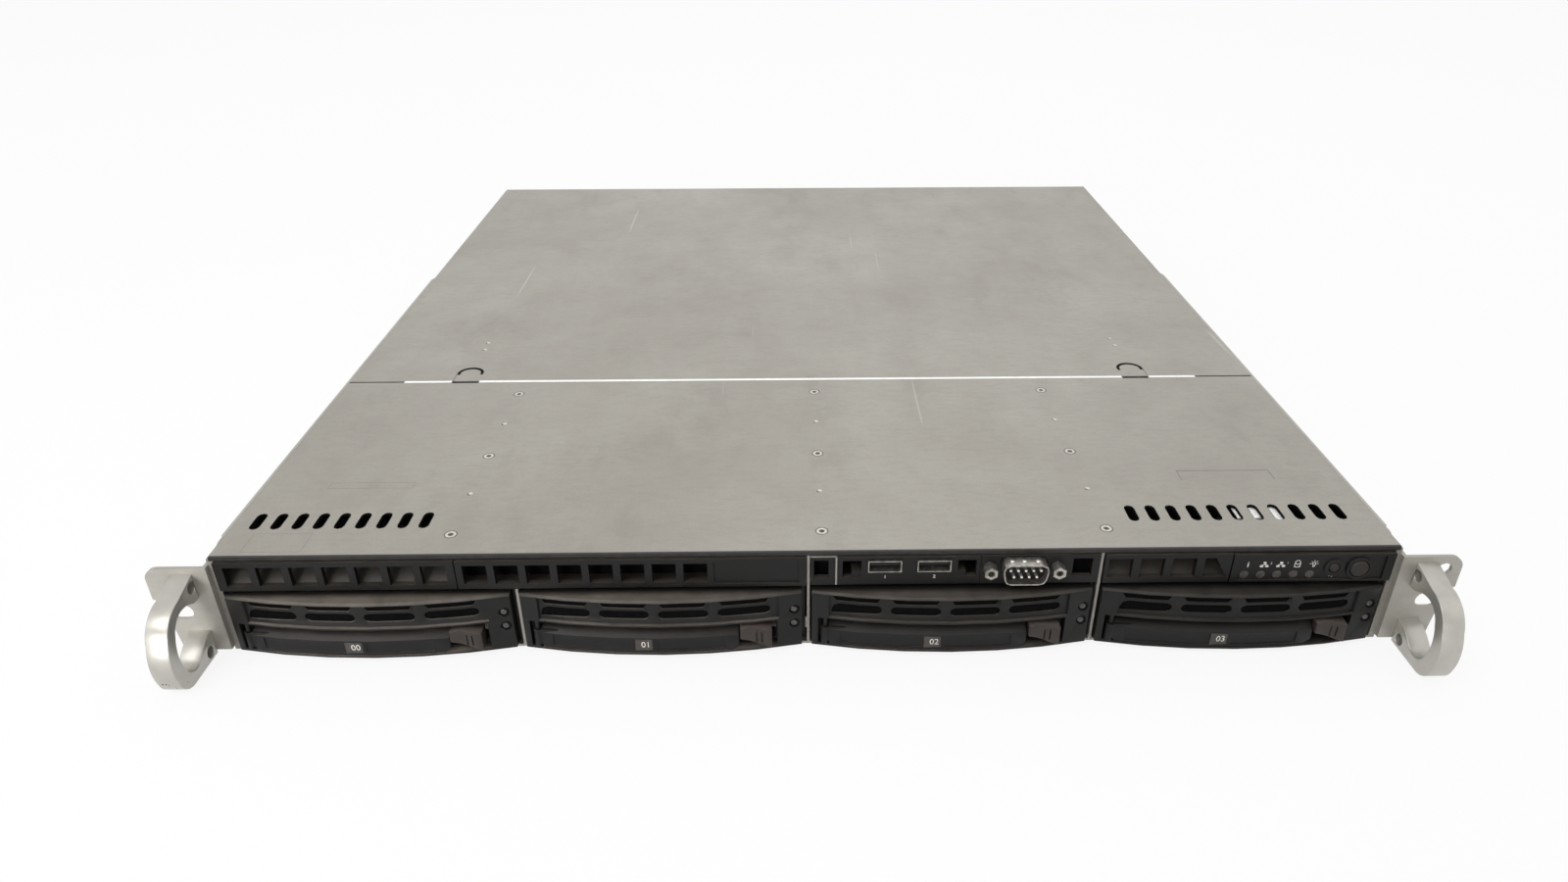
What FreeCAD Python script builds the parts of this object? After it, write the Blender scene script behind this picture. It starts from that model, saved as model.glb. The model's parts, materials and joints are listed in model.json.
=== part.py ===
import FreeCAD, Part
import math
import os

from FreeCAD import Vector

# One-unit rack server: four hot-swap drive carriers below a row of vents, ports and controls.
# Millimetres. X runs to the right seen from the front, Y to the rear, Z up. While a piece is
# made, y = 0 is the front plane of the chassis; save() moves it into the part's own frame,
# whose origin is the centre of the whole object's base.

# ---- driving dimensions ----
BODY_WIDTH = 437.0
BODY_HEIGHT = 43.0
BODY_DEPTH = 472.0
EAR_SPAN = 482.6          # outer width of a 19-inch front
RACK_HOLE_SPAN = 465.1    # between the rack screws
HANDLE_REACH = 28.0
REAR_REACH = 5.0          # what stands out behind the rear wall
SHEET = 1.0
SMALL_ROUND = 3.2         # a corner of a smaller radius is drawn in two flats, to keep the mesh light

HALF = BODY_WIDTH / 2
WALL_IN = HALF - SHEET
ORIGIN_Y = (BODY_DEPTH + REAR_REACH - HANDLE_REACH) / 2

# the covers
COVER_UNDER = BODY_HEIGHT - SHEET
COVER_HALF = WALL_IN - 0.2
SEAM_Y = 143.3
SEAM_GAP = 1.4
LATCH_XS = {"left": -162.0, "right": 161.0}
LATCH_HALF = 6.4          # of the window; the pad is narrower by its side gap
LATCH_SIDE_GAP = 0.1
LATCH_ARC_GAP = 1.1
LATCH_ROUND_Y = 152.8
LATCH_END_Y = 192.0
ROUND_FLATS = 10          # flats round the rear half of a latch window

# the drive bays
BAY_PITCH = 108.0
BAY_STARTS = [-2 * BAY_PITCH + i * BAY_PITCH for i in range(4)]
CAGE_DEPTH = 165.0
SHELF_Z = 27.4
SHELF_TOP = 28.5
CARRIER_LEFT = 1.2        # the carrier's face, from the start of its bay
CARRIER_RIGHT = 105.6
FACE_LOW = 1.7
FACE_HIGH = 26.6
FACE_BACK = 3.0
FACE_END_Y = -2.0         # the face bows out between its two ends
FACE_MID_Y = -7.6
DRIVE_WIDTH = 101.6
DRIVE_LENGTH = 147.0
DRIVE_HEIGHT = 25.4

# the row above the bays
ROW_LOW = SHELF_TOP
ROW_HIGH = 40.9
ROW_FACE_Y = -1.0
WINDOW_LOW = 30.5
WINDOW_HIGH = 38.9

# the inside
FAN_SIZE = 40.0
FAN_DEPTH = 28.0
DUCT_RADIUS = 19.0
DUCT_SIDES = 14
SHAFT_RADIUS = 1.5
HUB_BORE_RADIUS = 1.55
PIN_SIDES = 12            # flats round a pin or shaft that turns in a true round bore
FAN_XS = [-132.0, -44.0, 44.0]
FAN_Y = 180.0
FAN_Z = 21.0
SUPPLY_X = (114.4, 216.2)
SUPPLY_Y = (252.0, 471.6)
BOARD_X = (-205.0, 100.0)
BOARD_Y = (226.5, 470.3)
BOARD_Z = 6.5

PLANES = {
    "xy": (Vector(1, 0, 0), Vector(0, 1, 0), Vector(0, 0, 1)),
    "xz": (Vector(1, 0, 0), Vector(0, 0, 1), Vector(0, 1, 0)),
    "yz": (Vector(0, 1, 0), Vector(0, 0, 1), Vector(1, 0, 0)),
}


# ---- small makers ----
def box(x, y, z):
    return Part.makeBox(x[1] - x[0], y[1] - y[0], z[1] - z[0], Vector(x[0], y[0], z[0]))


def both_sides(x_in, x_out, y, z):
    """The same box on the left and on the right of the middle plane."""
    return [box((x_in, x_out), y, z), box((-x_out, -x_in), y, z)]


def mirrored(shape):
    return shape.mirror(Vector(0, 0, 0), Vector(1, 0, 0))


def rod(centre, axis, radius, length):
    """A cylinder that starts at a point and runs along an axis."""
    return Part.makeCylinder(radius, length, Vector(*centre), Vector(*axis))


def corner(before, point, after, radius):
    """Tangent points and middle of the arc that rounds one corner of an outline."""
    back = (before - point).normalize()
    on = (after - point).normalize()
    half = back.getAngle(on) / 2
    reach = radius / math.tan(half)
    middle = (back + on).normalize()
    centre = point + middle * (radius / math.sin(half))
    return point + back * reach, centre - middle * radius, point + on * reach


def outline(points, plane, level):
    """A closed wire at a level of a plane. A point may carry a third value, its corner radius."""
    u, v, n = PLANES[plane]
    spots = [u * p[0] + v * p[1] + n * level for p in points]
    runs = []
    for i, point in enumerate(points):
        if len(point) > 2:
            runs.append(corner(spots[i - 1], spots[i], spots[(i + 1) % len(spots)], point[2]))
        else:
            runs.append([spots[i]])
    edges = []
    for i, run in enumerate(runs):
        if len(run) == 3 and points[i][2] >= SMALL_ROUND:
            edges.append(Part.Arc(*run).toShape())
        else:
            edges += [Part.LineSegment(start, end).toShape() for start, end in zip(run, run[1:])]
        following = runs[(i + 1) % len(runs)][0]
        if (following - run[-1]).Length > 1e-6:
            edges.append(Part.LineSegment(run[-1], following).toShape())
    return Part.Wire(edges)


def prism(points, plane, low, high):
    """An outline extruded from one level of a plane to another."""
    face = Part.Face(outline(points, plane, low))
    return face.extrude(PLANES[plane][2] * (high - low))


def rounded(u, v, radius):
    """A rectangle's four corners with one radius."""
    return [(u[0], v[0], radius), (u[1], v[0], radius), (u[1], v[1], radius), (u[0], v[1], radius)]


def many_sided(u, v, radius, sides):
    """Corners of a regular outline, which stands in for a circle where a light mesh will do."""
    turns = [2 * math.pi * (i + 0.5) / sides for i in range(sides)]
    return [(u + radius * math.cos(turn), v + radius * math.sin(turn)) for turn in turns]


def slot_z(x, y, width, length, z):
    """A cutter along Z whose long way runs front to back, with round ends of four flats each."""
    radius = width / 2
    reach = length / 2 - radius
    points = []
    for end in (1, -1):
        for step in range(5):
            turn = math.radians(45 * step) + (0 if end > 0 else math.pi)
            points.append((x + radius * math.cos(turn), y + end * reach + radius * math.sin(turn)))
    return prism(points, "xy", z[0], z[1])


def joined(shapes):
    whole = shapes[0]
    if len(shapes) > 1:
        whole = whole.fuse(shapes[1:])
    return whole.removeSplitter()


def cut(shape, cutters):
    return shape.cut(cutters).removeSplitter()


def save(node, shape):
    solids = shape.Solids
    if not solids or not shape.isValid():
        raise ValueError(node + " is not a sound solid")
    placed = Part.makeCompound(solids) if len(solids) > 1 else solids[0]
    placed = placed.translated(Vector(0, -ORIGIN_Y, 0))
    placed.exportStep(os.path.join("parts", node + ".step"))


# ---- chassis ----
def io_window():
    return box((-64.0, 95.0), (BODY_DEPTH - 3, BODY_DEPTH + 1), (6.0, 39.0))


def make_tray():
    """Folded tray: floor, side walls, front return flanges and the rear wall with its openings."""
    top = COVER_UNDER - 0.3
    rear = (BODY_DEPTH - SHEET, BODY_DEPTH)
    through = (rear[0] - 1, rear[1] + 1)
    pieces = [box((-HALF, HALF), (0.6, BODY_DEPTH), (0, SHEET))]
    pieces += both_sides(WALL_IN, HALF, (0.6, BODY_DEPTH), (0, top))
    pieces += both_sides(216.2, HALF, (0.6, 1.6), (0, 41.1))
    pieces.append(box((-HALF, HALF), rear, (0, top)))
    cutters = [io_window(), box((SUPPLY_X[0] - 0.4, WALL_IN), through, (SHEET, top + 1))]
    cutters.append(box((-204.0, -88.0), through, (20.5, 37.5)))
    cutters += [box((-202.0 + 9.0 * i, -196.5 + 9.0 * i), through, (5.5, 16.0)) for i in range(13)]
    return cut(joined(pieces), cutters)


def make_front_top_panel():
    """Fixed front sheet with two rows of vent slots and a joggled tongue under the cover."""
    sheet = (COVER_UNDER, BODY_HEIGHT)
    pieces = [box((-COVER_HALF, COVER_HALF), (1.0, SEAM_Y - SEAM_GAP / 2), sheet)]
    pieces += both_sides(COVER_HALF - SHEET, COVER_HALF, (6.0, 140.0), (36.0, COVER_UNDER + 0.5))
    pieces.append(box((-191.4, 190.2), (138.0, 150.0), (COVER_UNDER - 0.9, COVER_UNDER - 0.1)))
    pieces.append(box((-191.4, 190.2), (138.0, 141.0), (COVER_UNDER - 0.9, COVER_UNDER + 0.5)))
    cutters = [slot_z(-208.9 + 7.96 * i, 23.2, 4.0, 11.0, (COVER_UNDER - 1, 44)) for i in range(9)]
    cutters += [slot_z(124.7 + 7.97 * i, 23.6, 4.0, 11.0, (COVER_UNDER - 1, 44)) for i in range(11)]
    for x in LATCH_XS.values():
        cutters.append(box((x - LATCH_HALF, x + LATCH_HALF), (SEAM_Y - 1.6, 151), (39, 44)))
    return cut(joined(pieces), cutters)


def make_front_top_trim():
    """Black edge strip that closes the front of the top sheet."""
    return joined([box((-COVER_HALF, COVER_HALF), (0, 1.0), (41.3, BODY_HEIGHT)),
                   box((-COVER_HALF, COVER_HALF), (0, 6.0), (41.3, COVER_UNDER))])


def latch_outline(x, side, front, arc_radius):
    """The shape of a latch window or pad: straight sides from its front edge, and a rear half of flats."""
    turns = [math.pi * i / ROUND_FLATS for i in range(ROUND_FLATS + 1)]
    arc = [(x + arc_radius * math.cos(turn), LATCH_ROUND_Y + arc_radius * math.sin(turn)) for turn in turns]
    if arc_radius < side:
        arc = [(x + side, LATCH_ROUND_Y)] + arc + [(x - side, LATCH_ROUND_Y)]
    return [(x - side, front), (x + side, front)] + arc


def make_top_cover():
    """Sliding rear cover with side flanges and a window for each press latch."""
    pieces = [box((-COVER_HALF, COVER_HALF), (SEAM_Y + SEAM_GAP / 2, 471.6), (COVER_UNDER, BODY_HEIGHT))]
    pieces += both_sides(COVER_HALF - SHEET, COVER_HALF, (152.0, 455.0), (36.0, COVER_UNDER + 0.5))
    windows = [latch_outline(x, LATCH_HALF, SEAM_Y - 1.0, LATCH_HALF) for x in LATCH_XS.values()]
    return cut(joined(pieces), [prism(window, "xy", COVER_UNDER - 1, BODY_HEIGHT + 1) for window in windows])


def make_cover_latch(x):
    """Leaf spring with the press pad and its hook at the free end and a rolled end where it bends.

    The pad leaves a wide arc free behind it, for the fingertip that presses it."""
    leaf_z = (COVER_UNDER - 0.9, COVER_UNDER - 0.1)
    pad = latch_outline(x, LATCH_HALF - LATCH_SIDE_GAP, SEAM_Y + 0.9, LATCH_HALF - LATCH_ARC_GAP)
    pad = prism(pad, "xy", leaf_z[1], BODY_HEIGHT - 0.15)
    leaf = box((x - 4.5, x + 4.5), (148.0, LATCH_END_Y), leaf_z)
    shelf = box((x - 5.4, x + 5.4), (144.4, 156.0), leaf_z)
    hook = box((x - 4.0, x + 4.0), (144.4, 145.4), (COVER_UNDER - 3.2, COVER_UNDER - 0.5))
    roll = rod((x - 4.5, LATCH_END_Y, COVER_UNDER - 0.5), (1, 0, 0), 0.4, 9.0)
    return joined([pad, shelf, leaf, hook, roll])


def make_drive_cage():
    """Shelf over the drives, the upright plates between the bays and the edge strip by the USB panel."""
    shelf = box((-216.0, 216.0), (3.2, CAGE_DEPTH), (SHELF_Z, SHELF_TOP))
    windows = [box((start + 24, start + 84), (y, y + 34), (25, 30))
               for start in BAY_STARTS for y in (34.0, 96.0)]
    plates = both_sides(215.4, 216.2, (4.0, CAGE_DEPTH), (SHEET, SHELF_Z))
    fronts = {-BAY_PITCH: SHELF_Z, 0.0: 41.2, BAY_PITCH: 41.2}
    for x, front_top in fronts.items():
        side = (x - 0.5, x + 0.5)
        pieces = [box(side, (0.2, CAGE_DEPTH), (SHEET, SHELF_Z))]
        if front_top > SHELF_Z:
            pieces.append(box(side, (0.2, 3.2), (SHELF_Z - 1, front_top)))
        if x == 0:
            pieces.append(box((x - 1.1, x), (0.2, 1.2), (8.0, 13.0)))
        plates.append(joined(pieces))
    strip = joined([box((USB_PANEL_X[0] - 0.7, USB_PANEL_X[0] - 0.1), (-1.1, 1.2), (ROW_LOW + 0.4, 41.2)),
                    box((0.6, USB_PANEL_X[0] - 0.1), (-0.6, 1.0), (ROW_HIGH, 41.2))])
    return Part.makeCompound([cut(shelf, windows), strip] + plates)


# ---- drive carriers ----
CARRIER_MIDDLE = (CARRIER_LEFT + CARRIER_RIGHT) / 2
HALF_CHORD = (CARRIER_RIGHT - CARRIER_LEFT) / 2
BOW = FACE_END_Y - FACE_MID_Y
BOW_RADIUS = (HALF_CHORD ** 2 + BOW ** 2) / (2 * BOW)
BOW_CENTRE_Y = FACE_MID_Y + BOW_RADIUS
BOW_FLATS = 6
LEVER_PIVOT = (6.4, -1.9)      # from the bay's start, and from the front plane
LEVER_RIGHT = 81.9
LEVER_LOW = 3.0
LEVER_HIGH = 11.8
POCKET_LOW = 2.6
POCKET_HIGH = 14.6
POCKET_FLOOR_Y = 0.9
PIN_RADIUS = 0.9
BORE_RADIUS = 0.95
VENT_START = 8.6
VENT_PITCH = 21.9
BUTTON_LEFT = 82.5
BUTTON_RIGHT = 94.3


def bow_y(x):
    """Front of the bowed face at a distance from the bay's start."""
    return BOW_CENTRE_Y - math.sqrt(BOW_RADIUS ** 2 - (x - CARRIER_MIDDLE) ** 2)


def stations(left, right):
    """The ends of a stretch of the face, and the places between them where the bow's flats meet."""
    step = 2 * HALF_CHORD / BOW_FLATS
    inner = [CARRIER_LEFT + step * i for i in range(1, BOW_FLATS)]
    return [left] + [x for x in inner if left + 0.5 < x < right - 0.5] + [right]


def bowed(section, start, left, right):
    """A bar that follows the bow from left to right of a bay.

    The section's points are (how far behind the bowed face, height)."""
    wires = []
    for x in stations(left, right):
        corners = [Vector(start + x, bow_y(x) + inset, z) for inset, z in section]
        wires.append(Part.makePolygon(corners + corners[:1]))
    return Part.makeLoft(wires, True, True)


def bowed_block(start, left, right, inset, back, z):
    """A block with a bowed front, set behind the face by an inset, and a flat back."""
    points = [(start + x, bow_y(x) + inset) for x in stations(left, right)]
    points += [(start + right, back), (start + left, back)]
    return prism(points, "xy", z[0], z[1])


def make_carrier_bezel(start):
    """Bowed grille face: a brow, a recessed vent panel, a lever pocket and a bottom lip."""
    whole = bowed_block(start, CARRIER_LEFT, CARRIER_RIGHT, 0, FACE_BACK, (FACE_LOW, FACE_HIGH))
    panel = bowed_block(start, 7.0, 98.0, 1.3, 6, (15, 26))
    recess = box((start + 7.6, start + 97.0), (-12, 3), (15.4, 25.6)).cut(panel)
    pocket = box((start + 3.6, start + 96.4), (-12, POCKET_FLOOR_Y), (POCKET_LOW, POCKET_HIGH))
    button_hole = box((start + BUTTON_LEFT - 0.6, start + 95.4), (-12, 6), (POCKET_LOW + 0.4, 14.2))
    hollow = [(start + x, bow_y(x) + 3.2) for x in (CARRIER_LEFT + 1.6, 36.0, 71.0, 100.6)]
    hollow = prism(hollow + [(start + 100.6, FACE_BACK + 1), (start + 2.8, FACE_BACK + 1)], "xy", 16.0, 25.2)
    chamfer = bowed([(-0.4, 27.2), (-0.4, 25.4), (1.3, 27.2)], start, CARRIER_LEFT - 0.1, CARRIER_RIGHT + 0.1)
    vents = []
    for i in range(4):
        left = start + VENT_START + VENT_PITCH * i
        right = left + (18.6 if i < 3 else 19.6)
        upper = [(left + 0.3, 24.8), (left + 1.8, 22.6), (right - 1.8, 22.6), (right - 0.3, 24.8)]
        lower = rounded((left, right), (17.7, 21.4), 1.8)
        if i == 0:
            lower = [(left, 16.9), (right, 17.7, 1.8), (right, 21.4, 1.8), (left, 21.4, 3.0)]
        vents.append(prism(upper, "xz", -12, 6))
        vents.append(prism(lower, "xz", -12, 6))
    lights = [prism(many_sided(start + 102.6, z, 1.9, 10), "xz", -6, -1.6) for z in (18.7, 12.3)]
    pin = many_sided(start + LEVER_PIVOT[0], LEVER_PIVOT[1], PIN_RADIUS, PIN_SIDES)
    pin = prism(pin, "xy", FACE_LOW + 0.1, POCKET_HIGH + 0.8)
    body = cut(whole, [recess, pocket, button_hole, hollow, chamfer] + vents + lights)
    return joined([body, pin])


def make_carrier_lever(start):
    """Swing lever that follows the face's bow, with a sloped top ledge and a barrel at its pivot."""
    section = [(0.2, LEVER_LOW), (0.2, 9.5), (3.2, LEVER_HIGH), (5.6, LEVER_HIGH), (5.6, LEVER_LOW)]
    arm = bowed(section, start, 7.6, LEVER_RIGHT)
    pivot = (start + LEVER_PIVOT[0], LEVER_PIVOT[1])
    neck = box((pivot[0], start + 14.0), (-3.2, -0.9), (LEVER_LOW, 10.6))
    barrel = prism(many_sided(*pivot, 1.8, 10), "xy", LEVER_LOW, 10.6)
    arm = arm.common(box((start + 7.6, start + LEVER_RIGHT), (-12, POCKET_FLOOR_Y - 0.5), (0, 20)))
    face_pocket = bowed([(-1, 3.8), (0.7, 3.8), (0.7, 8.8), (-1, 8.8)], start, 12.0, 76.0)
    label = bowed([(0.45, 3.6), (1.5, 3.6), (1.5, 9.0), (0.45, 9.0)], start, 43.2, 51.0)
    heel = prism([(start + 77.2, 1), (start + 90, 1), (start + 90, 11.0)], "xz", -12, 4)
    toe = prism([(start + 7.0, 1), (start + 10.4, 1), (start + 7.0, 4.6)], "xz", -12, 4)
    bore = rod((pivot[0], pivot[1], 0), (0, 0, 1), BORE_RADIUS, 20)
    lever = cut(joined([arm, neck, barrel]), [face_pocket, heel, toe, bore])
    return joined([lever, label])


def make_carrier_button(start):
    """Release button with a hollowed thumb face and two grip grooves."""
    points = [(start + BUTTON_LEFT, 8.2), (start + BUTTON_RIGHT, 3.9), (start + BUTTON_RIGHT, 12.0),
              (start + 85.6, 13.3), (start + BUTTON_LEFT, 12.7)]
    body = prism(points, "xz", -6.6, -0.6)
    scoop = rod((start + 87.2, -18.6, 0), (0, 0, 1), 12.6, 20)
    grooves = [box((start + x, start + x + 0.5), (-7, -5.2), (6.2, 11.0)) for x in (88.4, 90.4)]
    stem = box((start + 84.0, start + 92.6), (-0.8, 0.4), (7.4, 11.4))
    return joined([cut(body, [scoop] + grooves), stem])


def make_carrier_tray(start):
    """Light frame behind the face: two side rails and a front wall with air windows."""
    pieces = [box((start + 1.4, start + 106.8), (FACE_BACK, FACE_BACK + 1.6), (1.9, 26.2))]
    for side in ((1.4, 2.8), (105.4, 106.8)):
        rail = [(FACE_BACK, 1.5), (158.0, 1.5), (158.0, 20.0), (150.0, 25.5), (FACE_BACK, 25.5)]
        pieces.append(prism(rail, "yz", start + side[0], start + side[1]))
    windows = [box((start + 9 + 22 * i, start + 28 + 22 * i), (2, 6), (15.5, 25.0)) for i in range(4)]
    windows.append(box((start + BUTTON_LEFT - 0.6, start + 95.4), (2, 6), (POCKET_LOW + 0.4, 14.2)))
    windows += [box((start, start + 108), (y, y + 40), (12, 21)) for y in (30.0, 90.0)]
    return cut(joined(pieces), windows)


def make_hard_drive(start):
    """Three-and-a-half-inch drive: cast base, stepped lid with its spindle rise, board below."""
    left = start + (BAY_PITCH - DRIVE_WIDTH) / 2
    x = (left, left + DRIVE_WIDTH)
    y = (7.0, 7.0 + DRIVE_LENGTH)
    low = 1.5
    top = low + DRIVE_HEIGHT
    base = box(x, y, (low + 1.6, top - 2.0))
    lid = prism(rounded((x[0] + 1.5, x[1] - 1.5), (y[0] + 1.5, y[1] - 8.0), 3.0), "xy", top - 2.0, top - 0.8)
    rise = prism(many_sided(left + DRIVE_WIDTH / 2, y[0] + 50.0, 40.0, 12), "xy", top - 1.0, top)
    board = box((x[0] + 3, x[1] - 3), (y[0] + 30, y[1]), (low, low + 1.7))
    recess = box((left + 12, left + 54), (y[1] - 4.0, y[1] + 1), (low + 2.5, low + 9.5))
    blade = box((left + 15, left + 51), (y[1] - 4.5, y[1] - 0.4), (low + 5.4, low + 6.6))
    return joined([cut(joined([base, lid, rise, board]), [recess]), blade])


# ---- the row above the bays ----
def air_guide(x):
    """The slope behind a vent face that turns the air upwards."""
    slope = [(1.0, ROW_LOW), (11.0, ROW_LOW), (11.0, 37.6), (9.6, 37.6), (1.0, 30.3)]
    return prism(slope, "yz", x[0] + 1, x[1] - 1)


def make_left_vent_bezel():
    """Seven-window vent face with a sloped air guide moulded behind it."""
    x = (-216.0, -129.2)
    face = box(x, (ROW_FACE_Y, 1.2), (ROW_LOW, ROW_HIGH))
    lefts = [-212.8 + 11.9 * i for i in range(7)]
    windows = [box((left, left + 9.2), (-3, 1.3), (WINDOW_LOW, WINDOW_HIGH)) for left in lefts]
    return cut(joined([face, air_guide(x)]), windows)


def make_slim_bay_blank():
    """Filler for the slim bay: eight square holes, then a plain sunk field."""
    x = (-128.8, -0.8)
    face = box(x, (ROW_FACE_Y, 1.2), (ROW_LOW, ROW_HIGH))
    rim = [box((x[0] + 1, x[1] - 1), (1.0, 9.0), (z, z + 1.0)) for z in (ROW_LOW + 0.2, ROW_HIGH - 1.2)]
    lefts = [-126.3 + 11.5 * i for i in range(8)]
    holes = [box((left, left + 8.8), (-3, 3), (30.6, WINDOW_HIGH)) for left in lefts]
    field = box((-34.8, -3.4), (-3, ROW_FACE_Y + 0.7), (29.8, 39.4))
    return cut(joined([face] + rim), holes + [field])


USB_PANEL_X = (10.6, 63.0)
SERIAL_X = 79.0
SERIAL_Z = 35.8
JACK_SPAN = 25.0
USB_XS = (28.0, 46.1)
USB_Z = (34.8, 39.7)


def make_port_bezel():
    """Frame of the middle bay, open for the USB panel and for the serial port."""
    x = (0.9, 107.1)
    face = box(x, (ROW_FACE_Y + 0.4, 1.2), (ROW_LOW, ROW_HIGH))
    rim = [box((x[0] + 1, x[1] - 1), (1.0, 12.0), (ROW_LOW, ROW_LOW + 1.0))]
    cutters = [box((2.0, 7.4), (-3, 3), (32.0, 39.5)), box((97.2, 104.3), (-3, 3), (31.7, 39.4))]
    cutters.append(box((USB_PANEL_X[0] - 0.7, USB_PANEL_X[1] + 0.2), (-3, 3), (ROW_LOW + 0.4, 42)))
    shell = [(SERIAL_X - 9.1, 40.2, 2.0), (SERIAL_X + 9.1, 40.2, 2.0), (SERIAL_X + 7.4, 31.4, 2.0),
             (SERIAL_X - 7.4, 31.4, 2.0)]
    cutters.append(prism(shell, "xz", -3, 3))
    cutters += [prism(many_sided(SERIAL_X + side * JACK_SPAN / 2, SERIAL_Z, 1.7, 8), "xz", -3, 3)
                for side in (-1, 1)]
    return cut(joined([face] + rim), cutters)


def make_usb_panel():
    """Snap-in panel with the two USB openings and the two clip windows."""
    low = ROW_LOW + 0.6
    face = box(USB_PANEL_X, (ROW_FACE_Y, 1.4), (low, ROW_HIGH))
    cutters = [box((x - 6.3, x + 6.3), (-3, 3), (USB_Z[0] - 0.15, USB_Z[1] + 0.15)) for x in USB_XS]
    cutters += [box((12.5, 19.4), (-3, 3), (32.1, 39.5)), box((54.8, 61.6), (-3, 3), (32.2, 39.5))]
    clips = [box((15.8, 19.6), (-0.6, 5.0), (31.8, 34.4)), box((54.6, 57.9), (-0.6, 5.0), (31.8, 34.6))]
    return joined([cut(face, cutters)] + clips)


def make_usb_receptacles():
    """Two receptacles: a folded metal shell and the tongue inside it."""
    ports = []
    for x in USB_XS:
        shell = box((x - 6.15, x + 6.15), (-1.8, 13.0), USB_Z)
        mouth = box((x - 5.8, x + 5.8), (-3, 9.0), (USB_Z[0] + 0.35, USB_Z[1] - 0.35))
        tongue = box((x - 5.2, x + 5.2), (-0.9, 10.0), (USB_Z[1] - 2.1, USB_Z[1] - 0.9))
        ports.append(joined([shell.cut(mouth), tongue]))
    return ports


def d_outline(x, z, grow):
    """The D shape of a nine-pin shell: its wider side on top, and every corner rounded."""
    return [(x - 8.4 - grow, z + 4.0 + grow, 2.2 + grow), (x + 8.4 + grow, z + 4.0 + grow, 2.2 + grow),
            (x + 7.0 + grow, z - 4.0 - grow, 2.2 + grow), (x - 7.0 - grow, z - 4.0 - grow, 2.2 + grow)]


def make_serial_port():
    """Nine-pin D connector: flanged shell, its body behind, and two hexagon jackscrews."""
    x = SERIAL_X
    z = SERIAL_Z
    shell = prism(d_outline(x, z, 0.35), "xz", -6.0, 3.0).cut(prism(d_outline(x, z, -0.1), "xz", -7.0, -0.2))
    flange = box((x - 15.3, x + 15.3), (1.3, 2.3), (z - 6.0, z + 4.8))
    back = box((x - 8.6, x + 8.6), (2.0, 9.0), (z - 4.6, z + 4.6))
    port = joined([shell, flange, back])
    jacks = []
    for side in (-1, 1):
        place = x + side * JACK_SPAN / 2
        head = prism(many_sided(place, z, 2.6, 6), "xz", -5.0, -0.6)
        bore = prism(many_sided(place, z, 1.3, 8), "xz", -6, -1.5)
        shank = prism(many_sided(place, z, 1.4, 8), "xz", -1.0, 1.2)
        jacks.append(joined([head.cut(bore), shank]))
    return [port] + jacks


def make_front_ports():
    """The front connectors as separate solids: two USB receptacles, the serial port, its jackscrews."""
    return Part.makeCompound(make_usb_receptacles() + make_serial_port())


def make_right_vent_bezel():
    """Four-window vent face; the last window is cut off at a slant."""
    x = (108.9, 155.6)
    face = box(x, (ROW_FACE_Y, 1.2), (ROW_LOW, ROW_HIGH))
    windows = [box((left, left + 8.8), (-3, 1.3), (30.8, 39.2)) for left in (110.3, 122.0, 133.8)]
    windows.append(prism([(145.7, 30.8), (154.4, 30.8), (149.6, 39.2), (145.7, 39.2)], "xz", -3, 1.3))
    return cut(joined([face, air_guide(x)]), windows)


LIGHT_XS = [161.3 + 6.1 * i for i in range(5)]
LIGHT_Z = 31.4
LIGHT_BOARD_Y = 31.0
RESET = (194.0, 34.4)
POWER = (203.2, 34.1)
BUTTON_SIDES = 16
LIGHT_SIDES = 8


def make_control_panel():
    """Panel with five light holes and the collars of the reset and power buttons."""
    x = (156.0, 215.8)
    face = box(x, (ROW_FACE_Y - 0.3, 1.2), (ROW_LOW, 40.6))
    step = box((x[0] + 2.2, 212.6), (ROW_FACE_Y - 1, ROW_FACE_Y + 0.3), (ROW_LOW + 0.8, 39.6))
    collars = [prism(many_sided(*POWER, 4.7, BUTTON_SIDES), "xz", ROW_FACE_Y - 0.6, 1.0),
               prism(many_sided(*RESET, 3.7, BUTTON_SIDES), "xz", ROW_FACE_Y - 0.2, 1.0)]
    board = box((157.0, 212.0), (LIGHT_BOARD_Y, LIGHT_BOARD_Y + 1.6), (ROW_LOW + 0.5, 40.0))
    posts = [box((left, left + 1.6), (1.0, LIGHT_BOARD_Y + 0.2), (ROW_LOW + 1, 34.0))
             for left in (157.0, 210.4)]
    cutters = [prism(many_sided(place, LIGHT_Z, 1.85, LIGHT_SIDES), "xz", -4, 2) for place in LIGHT_XS]
    cutters.append(prism(many_sided(*POWER, 3.75, BUTTON_SIDES), "xz", -4, 2))
    cutters.append(prism(many_sided(*RESET, 2.2, BUTTON_SIDES), "xz", -4, 2))
    return cut(joined([face.cut(step)] + collars + [board] + posts), cutters)


def make_indicator_lights():
    """Five clear light pipes from the board to the panel, moulded together by a bar."""
    pipes = [prism(many_sided(x, LIGHT_Z, 1.75, LIGHT_SIDES), "xz", -0.6, LIGHT_BOARD_Y) for x in LIGHT_XS]
    bar = box((LIGHT_XS[0], LIGHT_XS[-1]), (12.0, LIGHT_BOARD_Y - 1.0), (LIGHT_Z + 0.8, 36.5))
    return joined(pipes + [bar])


def make_button(place, radius, proud, keeper):
    """Push button with a bevelled face and a keeper flange behind the panel."""
    bevel = 0.4
    cap = prism(many_sided(*place, radius, BUTTON_SIDES), "xz", bevel - proud, 1.8)
    rim = [outline(many_sided(*place, radius - bevel * step, BUTTON_SIDES), "xz", bevel * (1 - step) - proud)
           for step in (0, 1)]
    face = Part.makeLoft(rim, True, True)
    return joined([cap, face, prism(many_sided(*place, keeper, 12), "xz", 1.5, 2.4)])


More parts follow.
